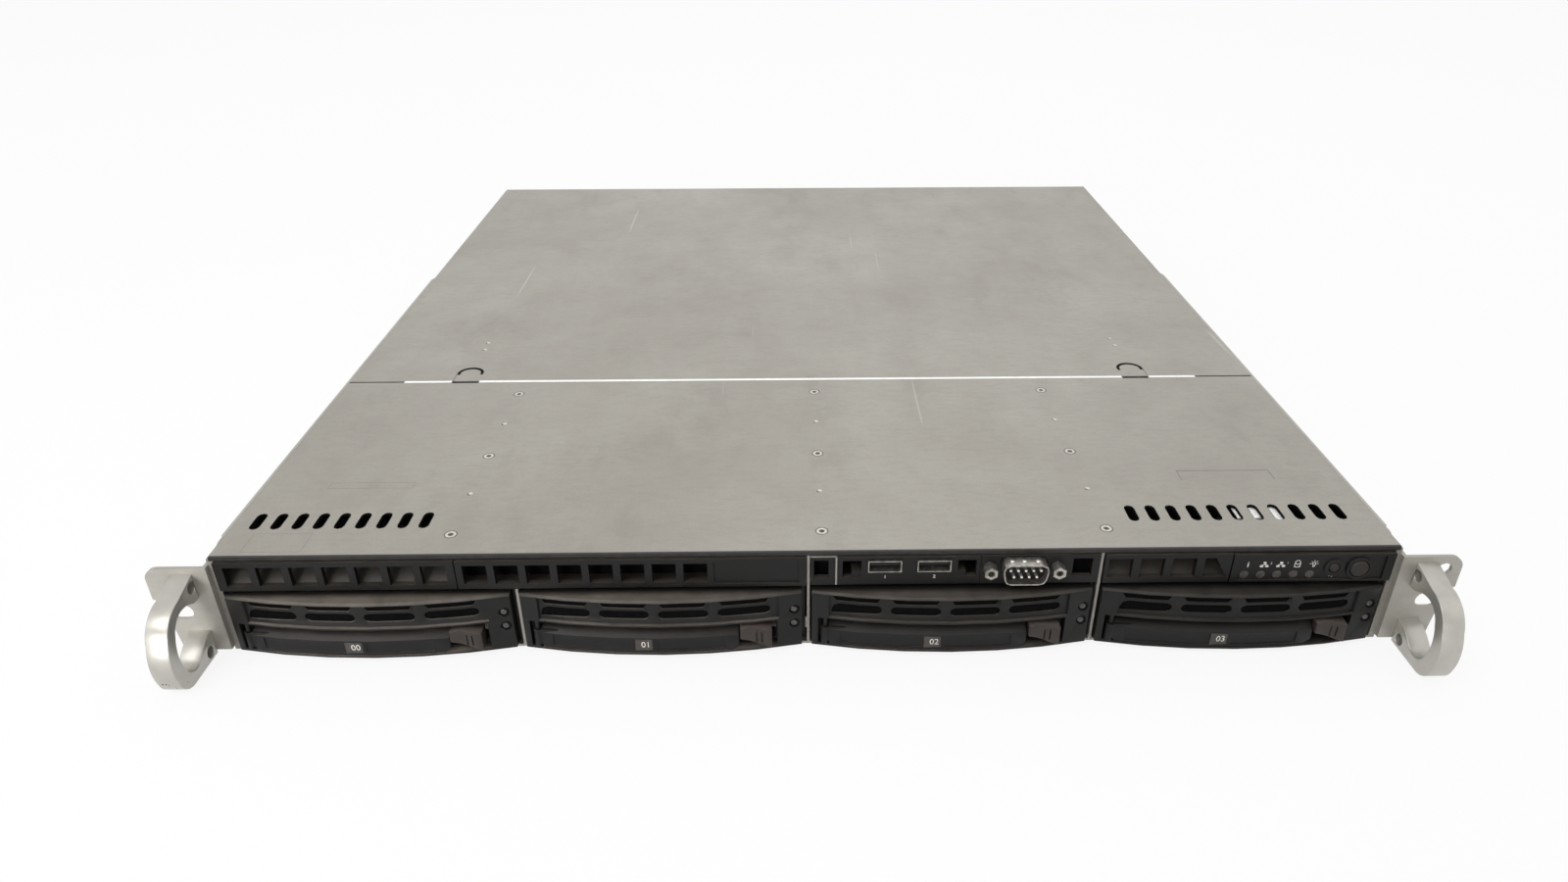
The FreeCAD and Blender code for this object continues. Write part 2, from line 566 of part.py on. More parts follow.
# ---- rack ears and handles ----
HANDLE_X = (224.0, 232.0)
HANDLE_FLATS = 4
HANDLE_SCREW_X = 228.0
HANDLE_SCREW_ZS = (6.0, 31.6)
EAR_FRONT_Y = -1.5
RACK_SLOT_Z = 19.5


def make_rack_ear(pierced):
    """Right-hand ear: a slotted front plate folded back along the side wall."""
    tip = EAR_SPAN / 2
    plate = [(218.6, 1.6), (236.0, 1.6, 3.0), (238.4, 24.0), (tip, 25.6), (tip, 39.2, 5.0), (218.6, 39.2)]
    front = prism(plate, "xz", EAR_FRONT_Y, 0.0)
    fold = prism([(EAR_FRONT_Y, 1.6), (7.4, 1.6), (7.4, 39.2), (EAR_FRONT_Y, 39.2)], "yz", 218.5, 220.0)
    middle = RACK_HOLE_SPAN / 2
    slot = rounded((middle - 4.5, middle + 4.5), (RACK_SLOT_Z - 3.3, RACK_SLOT_Z + 3.3), 3.297)
    cutters = [prism(slot, "xz", -5, 3)]
    if pierced:
        cutters.append(prism(many_sided(235.0, 33.6, 2.7, 10), "xz", -5, 3))
    return cut(joined([front, fold]), cutters)


def make_handle():
    """Right-hand pull handle: a bent bar whose two pads stand on the ear."""
    x0, x1 = HANDLE_X
    base = EAR_FRONT_Y
    # each stretch is a list of (y, z): two points make a line, three an arc drawn in HANDLE_FLATS flats
    stretches = [
        [(base, 36.8), (-13.0, 33.6)],
        [(-13.0, 33.6), (-21.4, 30.2), (-25.8, 23.0)],
        [(-25.8, 23.0), (-HANDLE_REACH, 13.2), (-26.6, 6.4)],
        [(-26.6, 6.4), (-24.0, 2.2), (-19.6, 0.2)],
        [(-19.6, 0.2), (base, 0.2)],
        [(base, 0.2), (base, 10.9)],
        [(base, 10.9), (-7.2, 9.2), (-11.8, 6.2)],
        [(-11.8, 6.2), (-16.2, 4.9), (-20.2, 7.4)],
        [(-20.2, 7.4), (-22.2, 14.6), (-20.4, 23.2)],
        [(-20.4, 23.2), (-18.0, 26.9), (-14.0, 28.9)],
        [(-14.0, 28.9), (-10.0, 28.6), (-6.4, 26.9)],
        [(-6.4, 26.9), (-4.0, 26.1), (base, 26.3)],
        [(base, 26.3), (base, 36.8)],
    ]
    points = []
    for stretch in stretches:
        spots = [Vector(x0, y, z) for y, z in stretch]
        if len(spots) == 3:
            spots = Part.Arc(*spots).toShape().discretize(Number=HANDLE_FLATS + 1)
        points += spots[:-1]
    body = Part.Face(Part.makePolygon(points + points[:1])).extrude(Vector(x1 - x0, 0, 0))
    holes = [prism(many_sided(y, z, 1.8, 8), "yz", x0 - 1, x1 + 1)
             for y, z in ((base - 2.4, 32.4), (base - 4.0, 3.8))]
    return cut(body, holes)


def make_side_rail():
    """Right-hand inner slide rail: a shallow channel with keyholes, fixed to the side wall."""
    x0 = HALF
    web = prism([(9.0, 8.0), (14.0, 5.0), (291.0, 5.0, 3.0), (291.0, 41.6, 3.0), (9.0, 41.6, 3.0)],
                "yz", x0, x0 + 0.9)
    lips = [box((x0, x0 + 1.5), (16.0, 286.0), z) for z in ((5.0, 6.2), (40.4, 41.6))]
    keyholes = []
    for y in (45.0, 150.0, 255.0):
        keyholes.append(prism(many_sided(y, 23.3, 4.5, 12), "yz", x0 - 1, x0 + 2))
        keyholes.append(box((x0 - 1, x0 + 2), (y - 13.0, y), (21.0, 25.6)))
    return cut(joined([web] + lips), keyholes)


# ---- inside ----
def make_backplane():
    """Drive backplane: a board with air openings and one drive socket for each bay."""
    y = CAGE_DEPTH
    board = box((-214.0, 214.0), (y, y + 1.6), (1.0, 39.0))
    openings = []
    sockets = []
    for start in BAY_STARTS:
        openings.append(box((start + 62, start + 100), (y - 1, y + 3), (7, 25)))
        openings.append(box((start + 12, start + 96), (y - 1, y + 3), (30, 37)))
        left = start + (BAY_PITCH - DRIVE_WIDTH) / 2
        socket = box((left + 12.8, left + 53.2), (151.0, y + 0.5), (4.5, 10.5))
        mouth = box((left + 14.4, left + 51.6), (150.0, 156.0), (6.0, 9.0))
        sockets.append(socket.cut(mouth))
        sockets.append(box((start + 24, start + 46), (y + 1, y + 9.5), (14, 22)))
    return joined([cut(board, openings)] + sockets)


def fan_struts(x, y, z, first):
    """Three arms that hold a fan's motor in its duct."""
    struts = []
    for i in range(3):
        strut = box((x - 1.2, x + 1.2), y, (z, z + DUCT_RADIUS + 0.6))
        strut.rotate(Vector(x, 0, z), Vector(0, 1, 0), 120 * i + first)
        struts.append(strut)
    return struts


def make_fan_housing(x):
    """Square fan frame with a round duct, a motor mount on three struts and its shaft."""
    half = FAN_SIZE / 2
    rear = FAN_Y + FAN_DEPTH
    square = rounded((x - half, x + half), (FAN_Z - half, FAN_Z + half), 2.5)
    frame = prism(square, "xz", FAN_Y, rear)
    duct = prism(many_sided(x, FAN_Z, DUCT_RADIUS, DUCT_SIDES), "xz", FAN_Y - 1, rear + 1)
    mount = prism(many_sided(x, FAN_Z, 9.0, 8), "xz", FAN_Y + 25.0, rear)
    shaft = prism(many_sided(x, FAN_Z, SHAFT_RADIUS, PIN_SIDES), "xz", FAN_Y + 6.0, rear - 2.0)
    struts = fan_struts(x, (FAN_Y + 25.4, FAN_Y + 27.6), FAN_Z, 30)
    return joined([frame.cut(duct), mount, shaft] + struts)


def make_impeller(x, y, z):
    """Five cambered blades on a hub that turns on the motor's shaft."""
    hub = prism(many_sided(x, z, 9.0, 12), "xz", y + 2.0, y + 24.0)
    hub = hub.cut(rod((x, y + 5.8, z), (0, 1, 0), HUB_BORE_RADIUS, 30))
    camber = ((-5.0, 4.0), (-2.6, 13.0), (4.4, 21.4), (5.2, 20.6), (-1.6, 12.4), (-4.0, 4.0))
    blades = []
    for i in range(5):
        blade = prism([(x + dx, y + dy) for dx, dy in camber], "xy", z + 7.0, z + 17.4)
        blade.rotate(Vector(x, 0, z), Vector(0, 1, 0), i * 360 / 5)
        blades.append(blade)
    return hub.fuse(blades)


def make_motherboard():
    """System board with its sockets, chip sinks and power connector."""
    z = BOARD_Z
    top = z + 1.6
    board = box(BOARD_X, BOARD_Y, (z, top))
    low = top - 0.3
    parts = [box((-20.0, 36.0), (290.0, 350.0), (low, top + 4.0))]
    parts += [box((50.0 + 9.5 * i, 56.4 + 9.5 * i), (232.0, 374.0), (low, top + 5.0)) for i in range(4)]
    parts += [box((-120.0 + 3.4 * i, -118.6 + 3.4 * i), (300.0, 336.0), (low, top + 9.0)) for i in range(6)]
    parts.append(box((-120.0, -101.6), (300.0, 336.0), (low, top + 2.0)))
    parts.append(box((-60.0, -8.0), (231.0, 241.0), (low, top + 11.0)))
    parts.append(box((-190.0, -181.0), (330.0, 440.0), (low, top + 11.0)))
    parts += [prism(many_sided(x, 372.0, 4.0, 8), "xy", low, top + 10.7) for x in (-30.0, -18.0, -6.0)]
    parts += [box((-196.0 + 12 * i, -188.0 + 12 * i), (232.0, 246.0), (low, top + 8.0)) for i in range(3)]
    return joined([board] + parts)


def make_heatsink():
    """Passive processor heatsink with fins along the air flow."""
    x = (-34.0, 50.0)
    base = box((-34.0, 48.0), (278.0, 362.0), (BOARD_Z + 5.6, BOARD_Z + 9.6))
    lefts = [x[0] + 6.5 * i for i in range(13)]
    fins = [box((left, left + 1.2), (278.0, 362.0), (BOARD_Z + 9.0, 38.5)) for left in lefts]
    return joined([base] + fins)


def make_memory_modules():
    """Four upright memory modules with their rows of chips."""
    modules = []
    for i in range(4):
        x = 52.6 + 9.5 * i
        card = box((x, x + 1.2), (236.0, 369.4), (BOARD_Z + 6.6, 38.6))
        sides = ((x - 1.0, x + 0.1), (x + 1.1, x + 2.2))
        chips = [box(side, (246.0, 360.0), (18.0, 30.0)) for side in sides]
        modules.append(joined([card] + chips))
    return Part.makeCompound(modules)


BOARD_TOP = BOARD_Z + 1.6
IO_PORTS = {
    # name: (x from, x to, height above the board)
    "keyboard": (74.0, 88.0, 27.5),
    "usb_stack": (56.0, 70.5, 16.5),
    "serial": (20.0, 51.0, 12.8),
    "video": (-17.0, 14.0, 12.8),
    "network_a": (-36.5, -20.5, 14.0),
    "network_b": (-54.5, -38.5, 14.0),
}


def make_io_shield():
    """Pressed plate in the rear window with an opening for each port."""
    rear = (BODY_DEPTH - SHEET - 0.6, BODY_DEPTH - SHEET)
    plate = box((-65.5, 96.5), rear, (5.0, 40.0))
    through = (rear[0] - 1, rear[1] + 1)
    cutters = [box((x0 - 0.3, x1 + 0.3), through, (BOARD_TOP - 0.3, BOARD_TOP + height + 0.3))
               for x0, x1, height in IO_PORTS.values()]
    cutters += [box((-55.0 + 18.0 * i, -41.0 + 18.0 * i), through, (31.0, 35.0)) for i in range(6)]
    return cut(plate, cutters)


def make_io_ports():
    """Rear port blocks: each a shell with its own openings."""
    mouth_y = (BODY_DEPTH - 9.0, BODY_DEPTH + 9.0)
    blocks = []
    for name, (x0, x1, height) in IO_PORTS.items():
        front = BODY_DEPTH - 16.0
        z0 = BOARD_TOP
        z1 = BOARD_TOP + height
        block = box((x0, x1), (front, BODY_DEPTH + 0.6), (z0, z1))
        if name.startswith("network"):
            mouth = box((x0 + 2.0, x1 - 2.0), mouth_y, (z0 + 2.2, z1 - 3.0))
            notch = box((x0 + 5.0, x1 - 5.0), mouth_y, (z1 - 3.5, z1 - 1.0))
            block = cut(block, [mouth, notch])
        elif name == "usb_stack":
            for z in (z0 + 1.2, z0 + 8.6):
                block = block.cut(box((x0 + 1.0, x1 - 1.0), mouth_y, (z, z + 5.2)))
                block = block.fuse(box((x0 + 2.0, x1 - 2.0), (front, BODY_DEPTH), (z + 3.2, z + 4.5)))
        elif name == "keyboard":
            for z in (z0 + 6.0, z0 + 20.0):
                cup = prism(many_sided(x0 + 7.0, z, 4.6, 16), "xz", mouth_y[0], mouth_y[1])
                key = box((x0 + 6.0, x0 + 8.0), (front, BODY_DEPTH - 1), (z - 1.0, z + 1.4))
                block = block.cut(cup).fuse(key)
        else:
            centre = (x0 + x1) / 2
            middle = (z0 + z1) / 2
            block = box((x0, x1), (front, BODY_DEPTH - SHEET - 1.2), (z0, z1))
            shell = prism(d_outline(centre, middle, 0.35), "xz", BODY_DEPTH - 4, BODY_DEPTH + REAR_REACH)
            shell = shell.cut(prism(d_outline(centre, middle, -0.15), "xz", BODY_DEPTH - 1, BODY_DEPTH + 6))
            jacks = [prism(many_sided(centre + side * JACK_SPAN / 2, middle, 2.6, 6),
                           "xz", BODY_DEPTH - 4, BODY_DEPTH + REAR_REACH) for side in (-1, 1)]
            block = joined([block, shell] + jacks)
        blocks.append(block.removeSplitter())
    return Part.makeCompound(blocks)


def make_expansion_cover():
    """Blank bracket over the expansion slot, lying on its side, with its folded screw tab."""
    rear = (BODY_DEPTH - SHEET - 1.0, BODY_DEPTH - SHEET)
    plate = box((-206.0, -86.0), rear, (19.2, 38.6))
    tab = box((-206.0, -205.0), (rear[0] - 11.0, rear[1]), (20.5, 37.5))
    ribs = [box((-194.0, -98.0), (rear[0] + 0.4, rear[1] + 0.8), (z - 1.5, z + 1.5)) for z in (25.0, 33.0)]
    return joined([plate, tab] + ribs)


SUPPLY_FAN_X = 190.0
GUARD_SIDES = 12
INLET_X = 141.0
INLET_Z = 21.0


def make_power_supply():
    """Sheet case with a front grille, the rear fan's duct and guard, and the mains inlet's opening."""
    x = SUPPLY_X
    front, back = SUPPLY_Y
    case = box(x, SUPPLY_Y, (SHEET, 41.0))
    hollow = box((x[0] + 1, x[1] - 1), (front + 1, back - 34.0), (SHEET + 1, 40.0))
    duct = prism(many_sided(SUPPLY_FAN_X, FAN_Z, DUCT_RADIUS, DUCT_SIDES), "xz", back - 36.0, back + 1)
    inlet = box((INLET_X - 13.8, INLET_X + 13.8), (back - 22.0, back + 1), (INLET_Z - 10.2, INLET_Z + 10.2))
    lefts = [x[0] + 7 + 18 * i for i in range(5)]
    slots = [box((left, left + 12), (front - 1, front + 2), (7.0, 35.0)) for left in lefts]
    mount = prism(many_sided(SUPPLY_FAN_X, FAN_Z, 9.0, 8), "xz", back - 31.0, back - 28.0)
    shaft = prism(many_sided(SUPPLY_FAN_X, FAN_Z, SHAFT_RADIUS, PIN_SIDES), "xz", back - 29.0, back - 10.0)
    guard = []
    for radius in (7.0, 13.5):
        ring = prism(many_sided(SUPPLY_FAN_X, FAN_Z, radius + 0.6, GUARD_SIDES), "xz", back - 1.2, back)
        inner = many_sided(SUPPLY_FAN_X, FAN_Z, radius - 0.6, GUARD_SIDES)
        guard.append(ring.cut(prism(inner, "xz", back - 2, back + 1)))
    reach = DUCT_RADIUS + 0.4
    for across, up in ((reach, 0.6), (0.6, reach)):
        guard.append(box((SUPPLY_FAN_X - across, SUPPLY_FAN_X + across), (back - 1.2, back),
                         (FAN_Z - up, FAN_Z + up)))
    struts = fan_struts(SUPPLY_FAN_X, (back - 31.0, back - 28.6), FAN_Z, 30)
    return joined([cut(case, [hollow, duct, inlet] + slots), mount, shaft] + struts + guard)


def make_supply_impeller():
    """The supply's fan rotor, which drives the air out at the rear."""
    rotor = make_impeller(SUPPLY_FAN_X, 0, FAN_Z)
    rotor = rotor.mirror(Vector(0, 0, 0), Vector(0, 1, 0))
    return rotor.translated(Vector(0, SUPPLY_Y[1] - 3.4, 0))


def make_power_inlet():
    """Three-pin mains inlet: a moulded cup with its pins."""
    y = SUPPLY_Y[1]
    rim = rounded((INLET_X - 13.5, INLET_X + 13.5), (INLET_Z - 10.0, INLET_Z + 10.0), 2.0)
    flange = prism(rim, "xz", y - 20.0, y + 0.8)
    cup = [(INLET_X - 12.2, INLET_Z - 8.2, 2.0), (INLET_X + 12.2, INLET_Z - 8.2, 2.0),
           (INLET_X + 12.2, INLET_Z + 4.0, 1.0), (INLET_X + 7.6, INLET_Z + 8.2, 1.0),
           (INLET_X - 7.6, INLET_Z + 8.2, 1.0), (INLET_X - 12.2, INLET_Z + 4.0, 1.0)]
    places = [(INLET_X - 7.0, INLET_Z - 2.0), (INLET_X + 7.0, INLET_Z - 2.0), (INLET_X, INLET_Z + 2.0)]
    pins = [box((u - 1, u + 1), (y - 18.0, y - 2.0), (v - 2, v + 2)) for u, v in places]
    return joined([flange.cut(prism(cup, "xz", y - 17.0, y + 2))] + pins)


def make_screws():
    """Screw heads behind the ears and round the supply's fan, and the hexagon posts under the board."""
    screws = []
    for side in (-1, 1):
        for z in HANDLE_SCREW_ZS:
            screws.append(prism(many_sided(side * HANDLE_SCREW_X, z, 2.8, 8), "xz", 0.0, 1.4))
    for dx in (-16.0, 16.0):
        for dz in (-16.0, 16.0):
            head = many_sided(SUPPLY_FAN_X + dx, FAN_Z + dz, 2.2, 8)
            screws.append(prism(head, "xz", SUPPLY_Y[1], SUPPLY_Y[1] + 1.0))
    for x in (-198.7, -46.3, 93.6):
        for y in (236.7, 393.2, 460.2):
            screws.append(prism(many_sided(x, y, 3.0, 6), "xy", SHEET, BOARD_Z))
    return Part.makeCompound(screws)


def main():
    os.makedirs("parts", exist_ok=True)
    save("chassis_tray", make_tray())
    save("front_top_panel", make_front_top_panel())
    save("front_top_trim", make_front_top_trim())
    save("top_cover", make_top_cover())
    for side, x in LATCH_XS.items():
        save("cover_latch_" + side, make_cover_latch(x))
    save("drive_cage", make_drive_cage())
    for bay, start in enumerate(BAY_STARTS):
        save("carrier_bezel_%d" % bay, make_carrier_bezel(start))
        save("carrier_lever_%d" % bay, make_carrier_lever(start))
        save("carrier_button_%d" % bay, make_carrier_button(start))
        save("carrier_tray_%d" % bay, make_carrier_tray(start))
        save("hard_drive_%d" % bay, make_hard_drive(start))
    save("left_vent_bezel", make_left_vent_bezel())
    save("slim_bay_blank", make_slim_bay_blank())
    save("port_bezel", make_port_bezel())
    save("usb_panel", make_usb_panel())
    save("front_ports", make_front_ports())
    save("right_vent_bezel", make_right_vent_bezel())
    save("control_panel", make_control_panel())
    save("indicator_lights", make_indicator_lights())
    save("power_button", make_button(POWER, 3.45, 2.0, 4.4))
    save("reset_button", make_button(RESET, 1.9, 1.5, 2.8))
    save("rack_ear_right", make_rack_ear(True))
    save("rack_ear_left", mirrored(make_rack_ear(False)))
    for name, right in (("handle", make_handle()), ("side_rail", make_side_rail())):
        save(name + "_right", right)
        save(name + "_left", mirrored(right))
    save("drive_backplane", make_backplane())
    for i, x in enumerate(FAN_XS):
        save("fan_housing_%d" % (i + 1), make_fan_housing(x))
        save("fan_impeller_%d" % (i + 1), make_impeller(x, FAN_Y, FAN_Z))
    save("motherboard", make_motherboard())
    save("processor_heatsink", make_heatsink())
    save("memory_modules", make_memory_modules())
    save("io_shield", make_io_shield())
    save("io_ports", make_io_ports())
    save("expansion_cover", make_expansion_cover())
    save("power_supply", make_power_supply())
    save("supply_impeller", make_supply_impeller())
    save("power_inlet", make_power_inlet())
    save("screws", make_screws())


main()
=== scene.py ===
import json
import math

import bpy
from mathutils import Matrix, Vector

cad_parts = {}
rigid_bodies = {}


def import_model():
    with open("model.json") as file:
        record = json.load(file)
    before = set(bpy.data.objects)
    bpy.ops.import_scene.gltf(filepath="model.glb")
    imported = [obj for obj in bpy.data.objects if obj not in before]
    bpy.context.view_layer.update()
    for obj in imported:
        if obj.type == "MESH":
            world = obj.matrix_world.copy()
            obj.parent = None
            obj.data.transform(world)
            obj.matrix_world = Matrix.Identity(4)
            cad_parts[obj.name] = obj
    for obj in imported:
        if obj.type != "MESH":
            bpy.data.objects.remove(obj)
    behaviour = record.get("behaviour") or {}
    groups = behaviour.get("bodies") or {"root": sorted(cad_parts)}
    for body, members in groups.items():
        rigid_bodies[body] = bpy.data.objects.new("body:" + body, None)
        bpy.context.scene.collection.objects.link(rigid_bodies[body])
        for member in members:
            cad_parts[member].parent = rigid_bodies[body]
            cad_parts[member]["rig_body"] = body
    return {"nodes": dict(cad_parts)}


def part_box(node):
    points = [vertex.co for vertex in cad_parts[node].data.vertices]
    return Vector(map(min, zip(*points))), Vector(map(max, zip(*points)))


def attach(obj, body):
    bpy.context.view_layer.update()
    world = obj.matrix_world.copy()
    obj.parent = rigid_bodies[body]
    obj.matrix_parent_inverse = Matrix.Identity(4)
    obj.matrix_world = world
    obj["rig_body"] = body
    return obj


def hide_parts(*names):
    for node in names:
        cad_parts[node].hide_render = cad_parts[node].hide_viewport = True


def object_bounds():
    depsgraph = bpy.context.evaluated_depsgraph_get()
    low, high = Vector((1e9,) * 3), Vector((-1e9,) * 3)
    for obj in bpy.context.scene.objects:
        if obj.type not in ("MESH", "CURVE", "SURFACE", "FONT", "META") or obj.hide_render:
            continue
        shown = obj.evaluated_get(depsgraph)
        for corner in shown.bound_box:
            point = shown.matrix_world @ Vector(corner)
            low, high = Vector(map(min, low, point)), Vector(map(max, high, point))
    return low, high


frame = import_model()
cad_low, cad_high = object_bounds()
nodes = frame["nodes"]
MM = 0.001

# ---- Viewpoint ----
# A lens close to the front of the server, above its middle, looking down at the top sheet and the
# drive bays. Distances run from the chassis front plane, where the rack ears meet the side walls.
TRAY_SETBACK = 0.6
EYE_X, EYE_BEFORE, EYE_Z = -6.5, 313.7, 265.7
LOOK_DOWN, ROLL, HEADING = 0.5122, 0.0018, -0.0131
tray_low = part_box("chassis_tray")[0]
front_y = tray_low.y - TRAY_SETBACK * MM

camera = bpy.data.objects.new("camera", bpy.data.cameras.new("camera"))
bpy.context.scene.collection.objects.link(camera)
camera.data.sensor_width = 36.0
camera.data.lens = 24.16
camera.data.shift_x = -0.01125
camera.data.clip_start = 0.01
eye = Vector((EYE_X * MM, front_y - EYE_BEFORE * MM, EYE_Z * MM))
turn = (Matrix.Rotation(HEADING, 4, "Z") @ Matrix.Rotation(math.radians(90.0) - LOOK_DOWN, 4, "X")
        @ Matrix.Rotation(-ROLL, 4, "Z"))
camera.matrix_world = Matrix.Translation(eye) @ turn
bpy.context.scene.camera = camera
bpy.context.scene.view_settings.view_transform = "Standard"

# ---- Studio ----
# A seamless white floor under an overhead light tent that is dimmer towards the horizon; the lens
# and the shiny parts see both as white. Two low softboxes stand in front, the left one behind a
# grid so that it reaches the left handle more than the right. The floor keeps the shadow.
FLOOR_SIDE, FLOOR_DROP, FLOOR_WHITE = 12.0, 0.2, 0.86
TENT_HORIZON, TENT_TOP = 0.28, 0.95
SEEN_RAYS = ("Is Camera Ray", "Is Glossy Ray", "Is Transmission Ray")
LAMPS = (  # name, place, aim, size in metres, watts, spread in degrees
    ("key", (-1.0, -1.2, 1.7), (-0.1, -0.1, 0), 1.1, 15.0, 180.0),
    ("fill", (1.2, -0.6, 1.3), (0, 0, 0), 1.4, 2.0, 180.0),
    ("back", (0.0, 1.4, 1.5), (0, 0.1, 0), 1.6, 3.5, 180.0),
    ("front_left", (-0.85, -1.7, 0.3), (-0.22, -0.25, 0), 0.45, 0.5, 30.0),
    ("front_right", (0.75, -1.7, 0.3), (0.22, -0.25, 0), 0.45, 0.5, 180.0))


def linear(code):
    """A colour written as sRGB hex, as the linear RGBA that shaders take."""
    parts = [int(code[i:i + 2], 16) / 255 for i in (1, 3, 5)]
    return [p / 12.92 if p <= 0.04045 else ((p + 0.055) / 1.055) ** 2.4 for p in parts] + [1.0]


def add(tree, kind, inputs=None, **settings):
    """Adds a shader node, sets its properties, and fills its inputs with values or with links."""
    made = tree.nodes.new(kind)
    for name, value in settings.items():
        setattr(made, name, value)
    for name, value in (inputs or {}).items():
        if isinstance(value, bpy.types.NodeSocket):
            tree.links.new(value, made.inputs[name])
        else:
            made.inputs[name].default_value = value
    return made


bpy.ops.object.select_all(action="DESELECT")
bpy.ops.mesh.primitive_plane_add(size=FLOOR_SIDE, location=(0, 0, -FLOOR_DROP * MM))
floor = bpy.context.object
floor.name = "floor"
paper = bpy.data.materials.new("white_paper_sweep")
paper.use_nodes = True
tree = paper.node_tree
tree.nodes.clear()
white = linear("#FFFFFF")
lit = add(tree, "ShaderNodeBsdfDiffuse", {"Color": linear("#EDEDEC")})
glow = add(tree, "ShaderNodeEmission", {"Color": white, "Strength": 1.0})
ray = add(tree, "ShaderNodeLightPath")
seen = ray.outputs[SEEN_RAYS[0]]
for kind in SEEN_RAYS[1:]:
    seen = add(tree, "ShaderNodeMath", {0: seen, 1: ray.outputs[kind]},
               operation="MAXIMUM").outputs[0]
share = add(tree, "ShaderNodeMath", {0: seen, 1: FLOOR_WHITE}, operation="MULTIPLY")
mix = add(tree, "ShaderNodeMixShader",
          {"Fac": share.outputs[0], 1: lit.outputs[0], 2: glow.outputs[0]})
add(tree, "ShaderNodeOutputMaterial", {"Surface": mix.outputs[0]})
floor.data.materials.append(paper)

world = bpy.data.worlds.new("studio")
bpy.context.scene.world = world
world.use_nodes = True
tree = world.node_tree
tree.nodes.clear()
way = add(tree, "ShaderNodeTexCoord").outputs["Generated"]
height = add(tree, "ShaderNodeSeparateXYZ", {0: way}).outputs["Z"]
level = add(tree, "ShaderNodeMapRange",
            {"Value": height, "From Min": 0.05, "From Max": 0.9,
             "To Min": TENT_HORIZON, "To Max": TENT_TOP}).outputs[0]
ray = add(tree, "ShaderNodeLightPath")
for kind in SEEN_RAYS:
    level = add(tree, "ShaderNodeMath", {0: level, 1: ray.outputs[kind]},
                operation="MAXIMUM").outputs[0]
sky = add(tree, "ShaderNodeBackground", {"Color": white, "Strength": level})
add(tree, "ShaderNodeOutputWorld", {"Surface": sky.outputs[0]})

for name, place, aim, size, watts, spread in LAMPS:
    lamp = bpy.data.objects.new(name, bpy.data.lights.new(name, "AREA"))
    lamp.data.size = size
    lamp.data.energy = watts
    lamp.data.spread = math.radians(spread)
    lamp.location = place
    lamp.rotation_euler = (Vector(aim) - Vector(place)).to_track_quat("-Z", "Y").to_euler()
    bpy.context.scene.collection.objects.link(lamp)

# ---- Chassis sheet metal ----
# Cold-rolled sheet with an electro-zinc coat, folded and spot-welded. The coat is a dull warm
# grey with a fine grain; handling has left cloudy smudges and a few hairline scratches on it.
# The coat's own spangle is too fine to show, so its grain is drawn about 1 mm across.
CLOUD_MM, SMEAR_MM, GRAIN_MM, ROLLING_MM, HAIRLINE_MM = 90.0, 30.0, 0.9, 2.2, 3.0


def surface(name, metallic=0.0, roughness=0.5, specular=0.5):
    """A named material with its shader and the object's own coordinates in metres."""
    made = bpy.data.materials.new(name)
    made.use_nodes = True
    made.node_tree.nodes.clear()
    shader = add(made.node_tree, "ShaderNodeBsdfPrincipled",
                 {"Metallic": metallic, "Roughness": roughness, "Specular IOR Level": specular})
    add(made.node_tree, "ShaderNodeOutputMaterial", {"Surface": shader.outputs[0]})
    place = add(made.node_tree, "ShaderNodeTexCoord").outputs["Object"]
    return made, made.node_tree, shader, place


def grain(tree, place, size_mm, detail=2.0, rough=0.5, stretch=(1, 1, 1)):
    """Noise whose features are about size_mm across, as a value from 0 to 1."""
    laid = add(tree, "ShaderNodeMapping", {"Vector": place, "Scale": stretch})
    noise = add(tree, "ShaderNodeTexNoise",
                {"Vector": laid.outputs[0], "Scale": 1000.0 / size_mm, "Detail": detail,
                 "Roughness": rough})
    return noise.outputs["Fac"]


def remap(tree, value, low, high, to_low=0.0, to_high=1.0):
    """Moves a value from one range to another, held inside the second."""
    return add(tree, "ShaderNodeMapRange", {"Value": value, "From Min": low, "From Max": high,
                                            "To Min": to_low, "To Max": to_high}).outputs[0]


def blend_colour(tree, share, first, second):
    """Mixes two colours, or colour sockets, by a share."""
    made = add(tree, "ShaderNodeMix", data_type="RGBA")
    for index, value in ((0, share), (6, first), (7, second)):
        if isinstance(value, bpy.types.NodeSocket):
            tree.links.new(value, made.inputs[index])
        else:
            made.inputs[index].default_value = value
    return made.outputs[2]


def dress(material, *names):
    """Gives CAD nodes a material in place of their plain one."""
    for name in names:
        nodes[name].data.materials.clear()
        nodes[name].data.materials.append(material)


def mottled(name, first, second, size_mm, metallic=0.0, roughness=0.5, specular=0.5,
            relief_mm=0.0):
    """A finish of two close colours in soft patches, with a fine relief where one is given."""
    made, tree, shader, place = surface(name, metallic, roughness, specular)
    patches = grain(tree, place, size_mm, 4.0, 0.6)
    colour = blend_colour(tree, remap(tree, patches, 0.38, 0.64), linear(first), linear(second))
    tree.links.new(colour, shader.inputs["Base Color"])
    tree.links.new(remap(tree, patches, 0.3, 0.7, roughness - 0.05, roughness + 0.07),
                   shader.inputs["Roughness"])
    if relief_mm:
        fine = grain(tree, place, 0.5, 2.0, 0.6)
        bump = add(tree, "ShaderNodeBump",
                   {"Height": fine, "Strength": 0.2, "Distance": relief_mm * MM})
        tree.links.new(bump.outputs[0], shader.inputs["Normal"])
    return made


